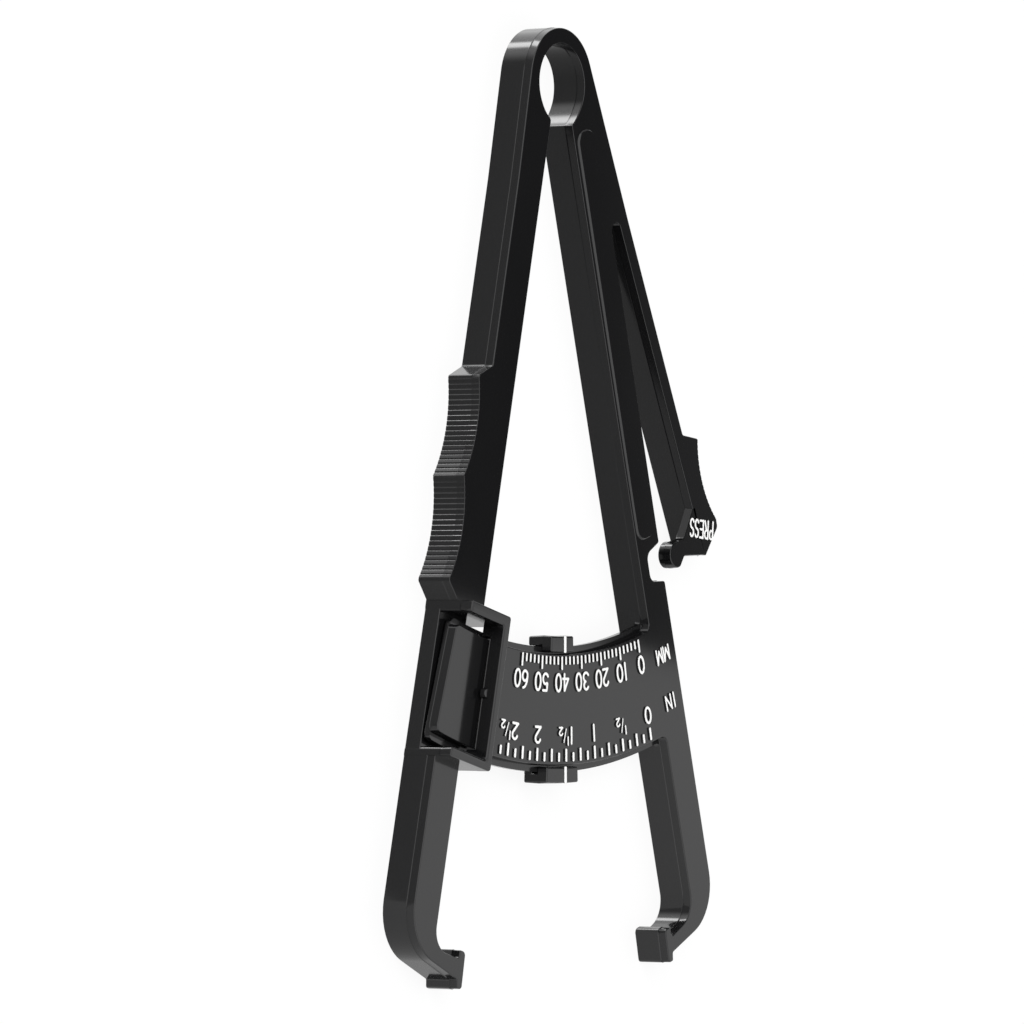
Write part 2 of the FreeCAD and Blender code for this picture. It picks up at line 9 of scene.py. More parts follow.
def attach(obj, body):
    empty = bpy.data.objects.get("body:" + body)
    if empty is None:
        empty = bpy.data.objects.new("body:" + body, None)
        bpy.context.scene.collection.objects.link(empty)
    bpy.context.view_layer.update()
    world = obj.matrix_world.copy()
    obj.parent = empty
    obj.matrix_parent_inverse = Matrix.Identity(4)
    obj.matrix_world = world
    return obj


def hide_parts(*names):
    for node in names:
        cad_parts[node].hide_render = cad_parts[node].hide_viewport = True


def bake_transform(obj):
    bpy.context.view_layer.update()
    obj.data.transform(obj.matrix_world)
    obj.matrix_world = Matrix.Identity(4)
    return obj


# Skinfold caliper, in millimetres and degrees up to where a mesh is built. The frame is the part's: the
# origin is the ring's centre on the back plane, the arms hang down along -Y, +X is to the right seen from the
# front, and +Z points out of the front. The caliper's arms have frames of their own, turned about the origin.

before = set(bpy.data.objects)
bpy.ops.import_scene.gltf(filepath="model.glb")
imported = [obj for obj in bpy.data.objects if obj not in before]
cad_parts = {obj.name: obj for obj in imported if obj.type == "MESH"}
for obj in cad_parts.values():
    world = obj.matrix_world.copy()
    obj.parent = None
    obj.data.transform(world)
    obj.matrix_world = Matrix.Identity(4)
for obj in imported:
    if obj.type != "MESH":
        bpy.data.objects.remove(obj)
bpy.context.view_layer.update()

# ---- sizes: the part's own, unless a comment gives what the solids have instead -------------------
MM = 0.001
DEPTH, PARTING = 6.75, 5.0
HOLE, RING = 7.35, 10.35
SCALE_ANGLE, SCALE_INNER, SCALE_OUTER = 14.8, 1.1, 8.85
GRIP_ANGLE, GRIP_INNER, GRIP_OUTER = -14.8, 1.7, 9.7
SHANK_INNER, SHANK_TOP, SHANK_OUTER = 2.7, 10.8, 10.92          # solids: 10.9 from top to end
PANEL_TOP, PANEL_GAP, PANEL_RISE, PANEL_ROUNDING = 9.8, 5.6, 0.35, 2.4      # solids: top 10.4
PANEL_UPPER_RIM, PANEL_LOWER_RIM, PANEL_OUTER_RIM = 0.9, 0.6, 1.15          # solids: inner rim 1.5

# finger grip, measured up from the guide's top wall
PAD_GAP, PAD_TAIL, LOWER_DISH, UPPER_DISH = 0.3, 3.3, 18.8, 18.5
PAD_RAMP, PAD_HEIGHT, PAD_CREST, SCALLOP = 3.0, 3.7, 4.15, 25.5
RIB_PITCH, RIB_DEPTH, RIB_SHARE, RIB_STEPS = 0.96, 0.1, 0.4, 15             # solids: no ribs

# jaws
JAW_START, OUTER_BEND, INNER_BEND = 150.0, 9.6, 5.0
TIP_THICKNESS, TIP_LEAN, TIP_ROUNDING = 1.9, 0.7, 1.0           # solids: rounding 0.8
NECK_ROUNDING, SHOULDER_ROUNDING, HEEL_ROUNDING = 0.35, 0.45, 0.5
SCALE_JAW = {"inner_corner": 9.0, "inner_slope": 11.5, "corner": 11.07, "slope": 9.9,
             "tip": 8.85, "tip_height": 6.6, "contact": 3.25}
GRIP_JAW = {"inner_corner": 11.2, "inner_slope": 1.5, "corner": 12.4, "slope": 10.5,
            "tip": 9.85, "tip_height": 7.1, "contact": 2.6}

# press lever, its latch and the notch in the scale arm
LEVER_ANGLE, LEVER_INNER, LEVER_OUTER = 24.5, 6.74, 9.84
FLEXURE_TOP, FLEXURE_END = 31.0, 35.0
THUMB_START, THUMB_TOP, THUMB_END, THUMB_CORNER, THUMB_FOOT = 74.6, 77.2, 93.6, 95.3, 98.24
THUMB_HEIGHT, THUMB_END_HEIGHT, THUMB_TOE, THUMB_DISH = 4.2, 3.7, 0.6, 20.0
FLANGE_TOP, FLANGE_SLANT_END, FLANGE_END = 88.3, 92.2, 95.45    # solids: end 95.4
FLANGE_NECK, FLANGE_FOOT = 1.34, 0.5
PRESS_TRAVEL, LUG_RADIUS, LUG_PLACE, LUG_DISTANCE, LUG_DEPTH = 6.6, 2.35, 1.7, 94.2, 2.5
LUG_WIDER, LUG_DEEPER, LUG_HIGHER = 0.2, 0.3, 0.15              # solids: none of these
NOTCH_FLOOR, NOTCH_MOUTH, NOTCH_ROUNDING, NOTCH_CLEARANCE = 5.0, 7.2, 1.6, 0.4
NOTCH_LIP = 0.7                  # rounding of the notch's mouth
SLIT_ROUNDNESS = 0.53            # radius of the slit's end, as a share of its width

# scale blade and the guide window that it runs through
BLADE_INNER, BLADE_OUTER, BLADE_BACK, RAIL = 103.9, 124.3, 3.75, 1.2
BLADE_END, BLADE_CORNER, BLADE_ROOT = 20.15, 2.2, 1.4           # solids: end 19.9
RAIL_ROOT, RAIL_BURIED = 2.4, 3.0        # the rails' plate in the scale arm: past the rails, and inwards
GUIDE_SIDE, GUIDE_REACH, GUIDE_FRONT, GUIDE_BACK = 10.6, 2.25, 10.15, 3.25      # solids: back 2.75
GUIDE_WALL, WINDOW_GAP, WINDOW_SLACK = 1.8, 0.53, 0.8
WINDOW_TOP = math.sqrt((BLADE_INNER - RAIL) ** 2 - GUIDE_SIDE ** 2) - WINDOW_GAP
WINDOW_END = BLADE_OUTER + RAIL + WINDOW_SLACK
GUIDE_TOP, GUIDE_END = WINDOW_TOP - GUIDE_WALL, WINDOW_END + GUIDE_WALL
HOUSING_TOP = GUIDE_TOP - 0.2                                   # solids: GUIDE_TOP
BAR_WIDTH, BAR_LEVEL = 1.85, 7.4
HOUSING_SIDE, WINDOW_SIDE, WINDOW_FOOT_SIDE = GUIDE_SIDE - 0.04, GUIDE_SIDE - 0.08, SHANK_TOP - 0.02
ARM_OVERLAP, PLATE_OVERLAP = 0.9, 0.7    # how far the arm and the back plate reach into the guide's walls
NUB_PLACE, NUB_RADIUS, NUB_DEPTH = 12.5, 0.95, 1.3              # solids: a block 1.8 wide, 2.75 deep

# cursor
RUNNING_GAP, LIP_GAP, PUSH_GAP = 0.1, 0.15, 0.2
CLIP_WALL, CLIP_THICKNESS, CLIP_RISE = 2.0, 1.7, 0.25
UPPER_LEFT, UPPER_RIGHT, LOWER_LEFT, LOWER_RIGHT = 4.6, 3.1, 6.2, 4.4
UPPER, LOWER = BLADE_INNER - RAIL - RUNNING_GAP, BLADE_OUTER + RAIL + RUNNING_GAP
CLIP_BACK, CLIP_FRONT = BLADE_BACK - RUNNING_GAP - CLIP_THICKNESS, DEPTH + CLIP_RISE
CLIP_LIP = PARTING + 0.1         # from here up the clips reach over the blade
SLIDE_OVERLAP = 0.3              # the cursor's back plate reaches this far into its clips
SLIDE_LEFT, SLIDE_RIGHT = (4.62, 6.24), (3.0, 4.3)      # its sides, at the upper clip and the lower one

# scale: a millimetre of jaw opening is DEGREES_PER_MM of turn about the ring's centre
CLOSED_TURN, READING, INCH = 23.7, 38.5, 25.4
CONTACT_RADIUS = (JAW_START + SCALE_JAW["tip"] + SCALE_JAW["tip_height"] / 2
                  + JAW_START + GRIP_JAW["tip"] + GRIP_JAW["tip_height"] / 2) / 2
DEGREES_PER_MM = math.degrees(1 / CONTACT_RADIUS)
ZERO_ANGLE = (CLOSED_TURN + GRIP_ANGLE
              + math.degrees((GUIDE_REACH + UPPER_LEFT + PUSH_GAP) / (BLADE_INNER - RAIL)))
CURSOR_ANGLE = ZERO_ANGLE - READING * DEGREES_PER_MM
MILLIMETRE_SPAN, MILLIMETRE_STEP, INCH_EIGHTHS = 60, 2, 21
MARK_RISE, MARK_SUNK = 0.32, 0.05                       # above the face, and into it
MILLIMETRE_MARGIN, MILLIMETRE_SHORT, MILLIMETRE_LONG = 0.5, 1.55, 2.5
INCH_MARGIN, INCH_SHORT, INCH_LONG = 0.7, 1.7, 2.4
MILLIMETRE_WIDTH, INCH_WIDTH = 0.48, 0.58                       # solids: 0.6
INDEX_WIDTH, INDEX_LENGTH, INDEX_RISE = 0.75, 1.9, 0.1

# edges
EDGE, INSET = 0.2, 0.14          # rounding of the front edges, and how far they stand in
SHARP, SOFT = 0.35, 2.6          # k of sharper and softer edges
CREASE, NORMAL_WEIGHT = 38, 80   # edges that turn by more than CREASE stay sharp
CUT = 9.6                        # the ring piece ends this far down the arms


# ---- outlines: points are (x, y, k), where k scales the edge rounding of the side that follows ---
# A corner is (x, y, radius, k), and the way into the material may follow as (nx, ny).
def turned(points, degrees):
    """Points or corners turned about the origin."""
    c, s = math.cos(math.radians(degrees)), math.sin(math.radians(degrees))
    return [(p[0] * c - p[1] * s, p[0] * s + p[1] * c) + tuple(p[2:4])
            + ((p[4] * c - p[5] * s, p[4] * s + p[5] * c) if len(p) > 4 else ()) for p in points]


def arc(cx, cy, radius, start, end, step=4.0, k=1.0):
    """Points of a circle's arc, in degrees, both ends included."""
    count = max(2, math.ceil(abs(end - start) / step))
    angles = [math.radians(start + (end - start) * i / count) for i in range(count + 1)]
    return [(cx + radius * math.cos(a), cy + radius * math.sin(a), 0.0, k) for a in angles]


def path(corners):
    """Closed outline. A corner's radius and k may be left out."""
    full = [tuple(c) + (0.0, 1.0)[len(c) - 2:] for c in corners]
    points = []
    for i, (x, y, radius, k) in enumerate(c[:4] for c in full):
        if radius <= 0:
            points.append((x, y, k) + full[i][4:])
            continue
        place = Vector((x, y))
        a = Vector(full[i - 1][:2]) - place
        b = Vector(full[(i + 1) % len(full)][:2]) - place
        half = a.angle(b) / 2
        reach = min(radius / math.tan(half), 0.49 * a.length, 0.49 * b.length)
        radius = reach * math.tan(half)
        a.normalize()
        b.normalize()
        centre = place + (a + b).normalized() * (radius / math.sin(half))
        start, end = place + a * reach - centre, place + b * reach - centre
        first = math.atan2(start.y, start.x)
        turn = (math.atan2(end.y, end.x) - first + math.pi) % (2 * math.pi) - math.pi
        steps = max(3, math.ceil(abs(math.degrees(turn)) / 8))
        for n in range(steps + 1):
            t = first + turn * n / steps
            points.append((centre.x + radius * math.cos(t), centre.y + radius * math.sin(t), k))
    return points


def inset(points, amount):
    """The outline moved to its left by amount times each side's k."""
    sides = []
    for p, q in zip(points, points[1:] + points[:1]):
        length = math.hypot(q[0] - p[0], q[1] - p[1]) or 1e-9
        sides.append(((p[1] - q[1]) / length, (q[0] - p[0]) / length, amount * p[2]))
    moved = []
    for i, (x, y) in enumerate(p[:2] for p in points):
        if len(points[i]) > 3:
            k, nx, ny = points[i][2:]
            moved.append((x + nx * amount * k, y + ny * amount * k))
            continue
        (ax, ay, am), (bx, by, bm) = sides[i - 1], sides[i]
        det = ax * by - ay * bx
        # Sides almost in line take the mean, and so does a shallow corner where k changes.
        if abs(det) < (0.02 if am == bm else 0.5):
            dx, dy = (ax + bx) / 2 * (am + bm) / 2, (ay + by) / 2 * (am + bm) / 2
        else:
            dx, dy = (am * by - bm * ay) / det, (bm * ax - am * bx) / det
        moved.append((x + dx, y + dy))
    return moved


def hollow(start, end, radius, rib=0.0):
    """Corners along an arc dug into the material on the left, with grooves as deep as rib."""
    a, b = Vector(start), Vector(end)
    along = (b - a).normalized()
    left = Vector((-along.y, along.x))
    half = (b - a).length / 2
    centre = (a + b) / 2 - left * math.sqrt(radius ** 2 - half ** 2)
    first = math.atan2(a.y - centre.y, a.x - centre.x)
    turn = (math.atan2(b.y - centre.y, b.x - centre.x) - first + math.pi) % (2 * math.pi) - math.pi
    ribs = max(1, round(abs(turn) * radius / RIB_PITCH))
    count = ribs * RIB_STEPS if rib else max(4, math.ceil(math.degrees(abs(turn)) / 3))
    points = []
    for n in range(count + 1):
        share = (n / RIB_STEPS) % 1.0 / RIB_SHARE if rib else 0.0
        dip = rib * (0.5 - 0.5 * math.cos(2 * math.pi * share)) if share < 1 else 0.0
        t = first + turn * n / count
        x, y = math.cos(t), math.sin(t)
        points.append((centre.x + (radius + dip) * x, centre.y + (radius + dip) * y, 0.0, SHARP, x, y))
    return points


def rounded_end(level, way, radius=EDGE, draft=INSET):
    """Levels (z, inset) of a rounded edge, upwards from a back edge (way 1) or to a front edge (-1)."""
    turns = [math.radians(22.5 * n) for n in range(5)]
    levels = [(level + way * radius * (1 - math.cos(t)), draft + radius * (1 - math.sin(t))) for t in turns]
    return levels if way > 0 else levels[::-1]


BACK_EDGE = [(0.0, 0.14), (0.03, 0.07), (0.1, 0.04)]
BACK = BACK_EDGE + [(PARTING - 0.1, 0.04)]
RIDGE = [(PARTING, 0.0), (PARTING + 0.06, 0.01), (PARTING + 0.28, 0.13)]
SIDES = BACK + RIDGE + rounded_end(DEPTH, -1)


class Shell:
    """Collects prisms and makes one mesh of them. kinds are material numbers, and flat marks the caps."""

    def __init__(self):
        self.points, self.faces, self.kinds, self.flat = [], [], [], []

    def ring(self, points, z):
        start = len(self.points)
        self.points += [(x, y, z) for x, y in points]
        return list(range(start, len(self.points)))

    def wall(self, low, high, kind=0):
        for i in range(len(low)):
            j = (i + 1) % len(low)
            self.faces.append((low[i], low[j], high[j], high[i]))
            self.kinds.append(kind)
            self.flat.append(False)

    def cap(self, rings, kind=0):
        corners = [i for ring in rings for i in ring]
        for triangle in tessellate_polygon([[Vector(self.points[i]) for i in ring] for ring in rings]):
            self.faces.append(tuple(corners[i] for i in triangle))
            self.kinds.append(kind)
            self.flat.append(True)

    def prism(self, outline, levels, holes=(), kinds=None, open_top=False):
        """A solid over an outline, by its levels (z, inset). Holes are outlines that run the other way
        round. Gives the rings of the top, which open_top leaves without a cap."""
        loops = [outline] + list(holes)
        stacks = []
        for loop in loops:
            rings = [self.ring(inset(loop, amount), z) for z, amount in levels]
            for n, (low, high) in enumerate(zip(rings, rings[1:])):
                self.wall(low, high, kinds[n] if kinds else 0)
            stacks.append(rings)
        self.cap([rings[0] for rings in stacks])
        tops = [rings[-1] for rings in stacks]
        if not open_top:
            self.cap(tops, kinds[-1] if kinds else 0)
        return tops

    def build(self, name, materials):
        mesh = bpy.data.meshes.new(name)
        mesh.from_pydata([tuple(c * MM for c in p) for p in self.points], [], self.faces)
        for material in materials:
            mesh.materials.append(material)
        for polygon, kind in zip(mesh.polygons, self.kinds):
            polygon.material_index = kind
        work = bmesh.new()
        work.from_mesh(mesh)
        flat = work.faces.layers.int.new("flat_face")
        for face, is_flat in zip(work.faces, self.flat):
            face[flat] = is_flat
            face.smooth = True
        bmesh.ops.dissolve_degenerate(work, dist=1e-7, edges=work.edges)
        bmesh.ops.recalc_face_normals(work, faces=work.faces)
        # A cap's border stays sharp, so that the rounding beside it doesn't tilt the cap's normals.
        for edge in work.edges:
            sides = edge.link_faces
            edge.smooth = (len(sides) == 2 and sides[0][flat] == sides[1][flat]
                           and edge.calc_face_angle() < math.radians(CREASE))
        work.to_mesh(mesh)
        work.free()
        thing = bpy.data.objects.new(name, mesh)
        bpy.context.scene.collection.objects.link(thing)
        normals = thing.modifiers.new("normals", "WEIGHTED_NORMAL")
        normals.keep_sharp, normals.weight = True, NORMAL_WEIGHT
        return thing


# ---- materials -----------------------------------------------------------------------------------
def node_material(name):
    material = bpy.data.materials.new(name)
    material.use_nodes = True
    return material, material.node_tree, material.node_tree.nodes["Principled BSDF"]


CLOUD_SCALE, CLOUD_DETAIL, TINT_DRIFT = 45.0, 4.0, 0.15
SKIN_DETAIL, SKIN_STRENGTH = 3.0, 0.5


def moulded_plastic(name, colour, roughness, spread, grain, depth_mm):
    """Moulded plastic: roughness drifts a little over the surface, and a fine skin breaks the gloss."""
    material, tree, shader = node_material(name)
    place = tree.nodes.new("ShaderNodeTexCoord")
    cloud = tree.nodes.new("ShaderNodeTexNoise")
    cloud.inputs["Scale"].default_value = CLOUD_SCALE
    cloud.inputs["Detail"].default_value = CLOUD_DETAIL
    tree.links.new(place.outputs["Object"], cloud.inputs["Vector"])
    span = tree.nodes.new("ShaderNodeMapRange")
    span.inputs["From Min"].default_value, span.inputs["From Max"].default_value = 0.3, 0.7
    span.inputs["To Min"].default_value = roughness - spread
    span.inputs["To Max"].default_value = roughness + spread
    tree.links.new(cloud.outputs["Fac"], span.inputs["Value"])
    tree.links.new(span.outputs["Result"], shader.inputs["Roughness"])
    tint = tree.nodes.new("ShaderNodeMix")
    tint.data_type = "RGBA"
    tint.inputs["A"].default_value = tuple(c * (1 - TINT_DRIFT) for c in colour) + (1,)
    tint.inputs["B"].default_value = tuple(min(1, c * (1 + TINT_DRIFT)) for c in colour) + (1,)
    tree.links.new(cloud.outputs["Fac"], tint.inputs["Factor"])
    tree.links.new(tint.outputs["Result"], shader.inputs["Base Color"])
    skin = tree.nodes.new("ShaderNodeTexNoise")
    skin.inputs["Scale"].default_value = grain
    skin.inputs["Detail"].default_value = SKIN_DETAIL
    tree.links.new(place.outputs["Object"], skin.inputs["Vector"])
    bump = tree.nodes.new("ShaderNodeBump")
    bump.inputs["Strength"].default_value = SKIN_STRENGTH
    bump.inputs["Distance"].default_value = depth_mm * MM
    tree.links.new(skin.outputs["Fac"], bump.inputs["Height"])
    tree.links.new(bump.outputs["Normal"], shader.inputs["Normal"])
    return material


black = moulded_plastic("black_moulding", colour=(0.0065, 0.0065, 0.0069), roughness=0.13, spread=0.02,
                        grain=900.0, depth_mm=0.0003)
white = moulded_plastic("white_foil", colour=(0.86, 0.86, 0.85), roughness=0.42, spread=0.08,
                        grain=2500.0, depth_mm=0.004)


def finish_piece(piece, body=None, nodes=()):
    """Attaches a piece to the empty of its body and hides the CAD nodes that it stands for. A piece with no
    body is left unattached.
    """
    if body:
        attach(piece, body)
    if nodes:
        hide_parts(*nodes)
    return piece


# ---- scale arm with its blade, notch and raised panel --------------------------------------------
def seat():
    """The lug's centre when pressed, in the scale arm's frame."""
    hinge = Vector(((LEVER_INNER + LEVER_OUTER) / 2, -(FLEXURE_TOP + FLEXURE_END) / 2))
    arm = Vector((-LUG_PLACE, -LUG_DISTANCE)) - hinge
    c, s = math.cos(math.radians(PRESS_TRAVEL)), math.sin(math.radians(PRESS_TRAVEL))
    place = hinge + Vector((arm.x * c + arm.y * s, -arm.x * s + arm.y * c))
    return turned([(place.x, place.y)], LEVER_ANGLE - SCALE_ANGLE)[0]


NOTCH_X, NOTCH_Y = seat()


def jaw(inner, outer, inner_corner, inner_slope, corner, slope, tip, tip_height, contact):
    """Corners of a jaw in the arm's own frame, down the inner side and up the outer side."""
    lean = math.tan(math.radians(contact))
    back = TIP_THICKNESS - (JAW_START + tip + tip_height / 2) * lean
    neck_top = JAW_START + inner_corner + (inner - back) * math.tan(math.radians(inner_slope))
    neck_end = JAW_START + corner + (outer - back) * math.tan(math.radians(slope))
    top, end = JAW_START + tip, JAW_START + tip + tip_height
    return [
        (inner, -JAW_START - inner_corner, INNER_BEND),
        (back + TIP_LEAN / 2, -neck_top, NECK_ROUNDING),
        (back + TIP_LEAN / 2, -top, SHOULDER_ROUNDING),
        (-top * lean, -top, TIP_ROUNDING),
        (-end * lean, -end, TIP_ROUNDING),
        (back - TIP_LEAN / 2, -end, HEEL_ROUNDING),
        (back, -neck_end, NECK_ROUNDING),
        (outer, -JAW_START - corner, OUTER_BEND),
    ]


def mirrored(corners):
    """The corners on the other side of the middle line. Each takes the k of the side before it."""
    full = [tuple(c) + (1.0,) * (4 - len(c)) for c in corners]
    return [(-x, y, radius, full[i - 1][3]) for i, (x, y, radius, _) in enumerate(full)][::-1]


def on_blade(radius, degrees):
    """A point of the blade by its radius and its angle from straight down, towards +X."""
    a = math.radians(degrees)
    return radius * math.sin(a), -radius * math.cos(a)


def blade_arc(radius, start, end):
    """Corners along an arc about the ring's centre, a degree apart or less."""
    count = max(2, math.ceil(abs(end - start)))
    return [on_blade(radius, start + (end - start) * n / count) + (0.0, 1.0) for n in range(count + 1)]


def slit_end():
    """The slit's round end and the cut through the lever."""
    fork = math.radians(LEVER_ANGLE - SCALE_ANGLE)
    arm_x = (SCALE_OUTER - FLEXURE_TOP * math.sin(fork)) / math.cos(fork)
    points = hollow((arm_x, -FLEXURE_TOP), (LEVER_INNER, -FLEXURE_TOP),
                    SLIT_ROUNDNESS * (LEVER_INNER - arm_x))
    points = points[:-1] + [(LEVER_INNER, -FLEXURE_TOP, 0.0, 0.0), (LEVER_OUTER, -FLEXURE_TOP)]
    return turned(points, LEVER_ANGLE)


# Where the ring piece ends: on the lever's root, and on both sides of the arms.
WEB_CUT = turned([(RING + (LEVER_OUTER - RING) * (CUT - 2) / FLEXURE_TOP, 2 - CUT)], LEVER_ANGLE)[0]
RIGHT_CUT = turned([(SCALE_INNER, -CUT)], SCALE_ANGLE)[0]
LEFT_CUT = turned([(-GRIP_INNER, -CUT)], GRIP_ANGLE)[0]
LEFT_OUTER_CUT = turned([(-RING + (RING - GRIP_OUTER) * CUT / (2 * RING), -CUT)], GRIP_ANGLE)[0]


def arm_angle(radius, depth=SCALE_INNER):
    """Angle at which a circle about the ring's centre meets a line along the scale arm, depth off it."""
    return SCALE_ANGLE + math.degrees(math.asin(depth / radius))


def along_blade(inner, outer, end, corner, root):
    """The blade's edges from the scale arm to its free end and back. corner and root are radii."""
    top, bottom = arm_angle(inner), arm_angle(outer)
    # The arcs stop about a degree and a half short of the corners, to leave room for the roundings.
    return ([on_blade(inner, top) + (root,)] + blade_arc(inner, top - 1.7, 1.4 - end)
            + [on_blade(inner, -end) + (corner,), on_blade(outer, -end) + (corner,)]
            + blade_arc(outer, 1.4 - end, bottom - 1.5) + [on_blade(outer, bottom) + (root,)])


def frame_outline(with_blade):
    """The scale arm down its inner side, with or without the blade, and up its outer side to the slit."""
    floor = NOTCH_X - LUG_RADIUS - NOTCH_CLEARANCE
    own = jaw(SCALE_INNER, SCALE_OUTER, **SCALE_JAW) + [
        (SCALE_OUTER, NOTCH_Y - NOTCH_MOUTH / 2, NOTCH_LIP),
        (floor, NOTCH_Y - NOTCH_FLOOR / 2, NOTCH_ROUNDING),
        (floor, NOTCH_Y + NOTCH_FLOOR / 2, NOTCH_ROUNDING),
        (SCALE_OUTER, NOTCH_Y + NOTCH_MOUTH / 2, NOTCH_LIP),
    ]
    blade = along_blade(BLADE_INNER, BLADE_OUTER, BLADE_END, BLADE_CORNER, BLADE_ROOT)
    return path([RIGHT_CUT + (0.0, SHARP)] + (blade if with_blade else []) + turned(own, SCALE_ANGLE)
                + slit_end() + [WEB_CUT + (0.0, 0.0)])


scale_frame = Shell()
scale_frame.prism(frame_outline(False), BACK + [(PARTING, 0.0)])
front = scale_frame.prism(frame_outline(True), RIDGE + rounded_end(DEPTH, -1), open_top=True)
panel_outline = path(turned([
    (SCALE_INNER + PANEL_LOWER_RIM, NOTCH_Y + PANEL_GAP, PANEL_ROUNDING),
    (SCALE_OUTER - PANEL_OUTER_RIM, NOTCH_Y + PANEL_GAP, PANEL_ROUNDING),
    (SCALE_OUTER - PANEL_OUTER_RIM, -PANEL_TOP, PANEL_ROUNDING),
    (SCALE_INNER + PANEL_UPPER_RIM, -PANEL_TOP, PANEL_ROUNDING),
], SCALE_ANGLE))
PANEL_STEPS = [(0.0, -0.05), (0.05, 0.0), (0.2, 0.03), (0.29, 0.09), (PANEL_RISE, 0.2)]
rings = [scale_frame.ring(inset(panel_outline, amount), DEPTH + rise) for rise, amount in PANEL_STEPS]
scale_frame.cap([front[0], rings[0]])
for low, high in zip(rings, rings[1:]):
    scale_frame.wall(low, high)
scale_frame.cap([rings[-1]])
rails = along_blade(BLADE_INNER - RAIL, BLADE_OUTER + RAIL, BLADE_END - 0.3, corner=1.2, root=1.0)
inside = [on_blade(radius, arm_angle(edge, depth)) + (0.0,) for radius, edge, depth in (
    (BLADE_OUTER + RAIL + RAIL_ROOT, BLADE_OUTER, SCALE_INNER),
    (BLADE_OUTER + RAIL + RAIL_ROOT, BLADE_OUTER, RAIL_BURIED),
    (BLADE_INNER - RAIL - RAIL_ROOT, BLADE_INNER, RAIL_BURIED),
    (BLADE_INNER - RAIL - RAIL_ROOT, BLADE_INNER, SCALE_INNER))]
scale_frame.prism(path(rails + inside), [(BLADE_BACK, 0.22), (BLADE_BACK + 0.07, 0.08),
                                         (BLADE_BACK + 0.22, 0.0), (PARTING, 0.0)])
finish_piece(scale_frame.build("scale_frame", [black]), "scale_side",
             nodes=["scale_arm", "lever_root", "scale_blade", "scale_jaw"])

# ---- spring ring, which joins the arms; the real one bends as they close -------------------------
FORK_END = 8.1                   # the hole's foot meets the scale arm's inner side this far down
FOOT_RADIUS, FOOT_FROM, FOOT_TO = 15.9, -31.5, -46.0    # the flatter arc at the hole's foot
foot = math.radians(FOOT_FROM)
foot_centre = [(HOLE - FOOT_RADIUS) * math.cos(foot), (HOLE - FOOT_RADIUS) * math.sin(foot)]
left_fork = (-GRIP_INNER, -math.sqrt(HOLE ** 2 - GRIP_INNER ** 2))
hole_from = 360 + math.degrees(math.atan2(left_fork[1], left_fork[0])) + GRIP_ANGLE
hole_side = [(x, y, 0.0, max(0.5, 1.0 - 0.1 * i))
             for i, (x, y, _, _) in enumerate(arc(0, 0, HOLE, hole_from - 11, FOOT_FROM))]
ring = Shell()
ring.prism(path(
    [WEB_CUT] + arc(0, 0, RING, LEVER_ANGLE, 180 + GRIP_ANGLE)
    + [LEFT_OUTER_CUT + (0.0, 0.0), LEFT_CUT] + turned([left_fork + (1.0,)], GRIP_ANGLE) + hole_side
    + arc(*foot_centre, FOOT_RADIUS, FOOT_FROM, FOOT_TO, 1.5, 0.5)[1:]
    + turned([(SCALE_INNER, -FORK_END, 0.5, SHARP)], SCALE_ANGLE)
    + [RIGHT_CUT + (0.0, 0.0)]), SIDES)
ring = finish_piece(ring.build("hanging_ring", [black]), nodes=["spring_ring"])
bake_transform(ring)

# ---- grip arm with its ribbed finger grip --------------------------------------------------------
GRIP_END = PAD_GAP - GUIDE_TOP
TAIL, PEAK = GRIP_END + PAD_TAIL, GRIP_END + PAD_TAIL + LOWER_DISH
TOP = PEAK + UPPER_DISH
grip = Shell()
grip.prism(path(
    [LEFT_OUTER_CUT] + turned(
        [(-GRIP_OUTER, -2 * RING), (-GRIP_OUTER, TOP + PAD_RAMP, 0.6),
         (-GRIP_OUTER - PAD_HEIGHT, TOP + 0.3, 0.5)]
        + hollow((-GRIP_OUTER - PAD_HEIGHT, TOP - 0.2), (-GRIP_OUTER - PAD_CREST, PEAK), SCALLOP, RIB_DEPTH)
        + hollow((-GRIP_OUTER - PAD_CREST, PEAK), (-GRIP_OUTER - PAD_CREST, TAIL), SCALLOP, RIB_DEPTH)[1:]
        + [(-GRIP_OUTER - PAD_CREST, TAIL - 0.6, 1.0, SHARP), (-GUIDE_SIDE + 0.05, GRIP_END, 0.0, 0.0),
           (-GUIDE_SIDE + 0.3, -HOUSING_TOP - ARM_OVERLAP), (-GRIP_INNER, -HOUSING_TOP - ARM_OVERLAP)],
        GRIP_ANGLE)
    + [LEFT_CUT + (0.0, 0.0)]), SIDES)
finish_piece(grip.build("grip_arm_ribbed", [black]), "grip_side", nodes=["grip_arm", "finger_grip"])

# ---- guide window --------------------------------------------------------------------------------
guide = Shell()
bar_inner, nub = GUIDE_REACH - BAR_WIDTH, WINDOW_TOP + NUB_PLACE
upper_wall = [(-WINDOW_SIDE, -WINDOW_TOP, 0.85, 0.0), (GUIDE_REACH, -WINDOW_TOP, 0.6),
              (GUIDE_REACH, -HOUSING_TOP, 0.6), (-GRIP_INNER, -HOUSING_TOP, 0.0, 0.0),
              (-HOUSING_SIDE, -HOUSING_TOP, 0.0, 0.0)]
lower_wall = [(-SHANK_TOP, -GUIDE_END, 0.0, 0.0), (-SHANK_INNER, -GUIDE_END), (GUIDE_REACH, -GUIDE_END, 0.6),
              (GUIDE_REACH, -WINDOW_END, 0.6), (-WINDOW_FOOT_SIDE, -WINDOW_END, 0.85, 0.0)]
for wall in (upper_wall, lower_wall):
    guide.prism(path(turned(wall, GRIP_ANGLE)), BACK + [(BAR_LEVEL + 0.3, 0.02)])
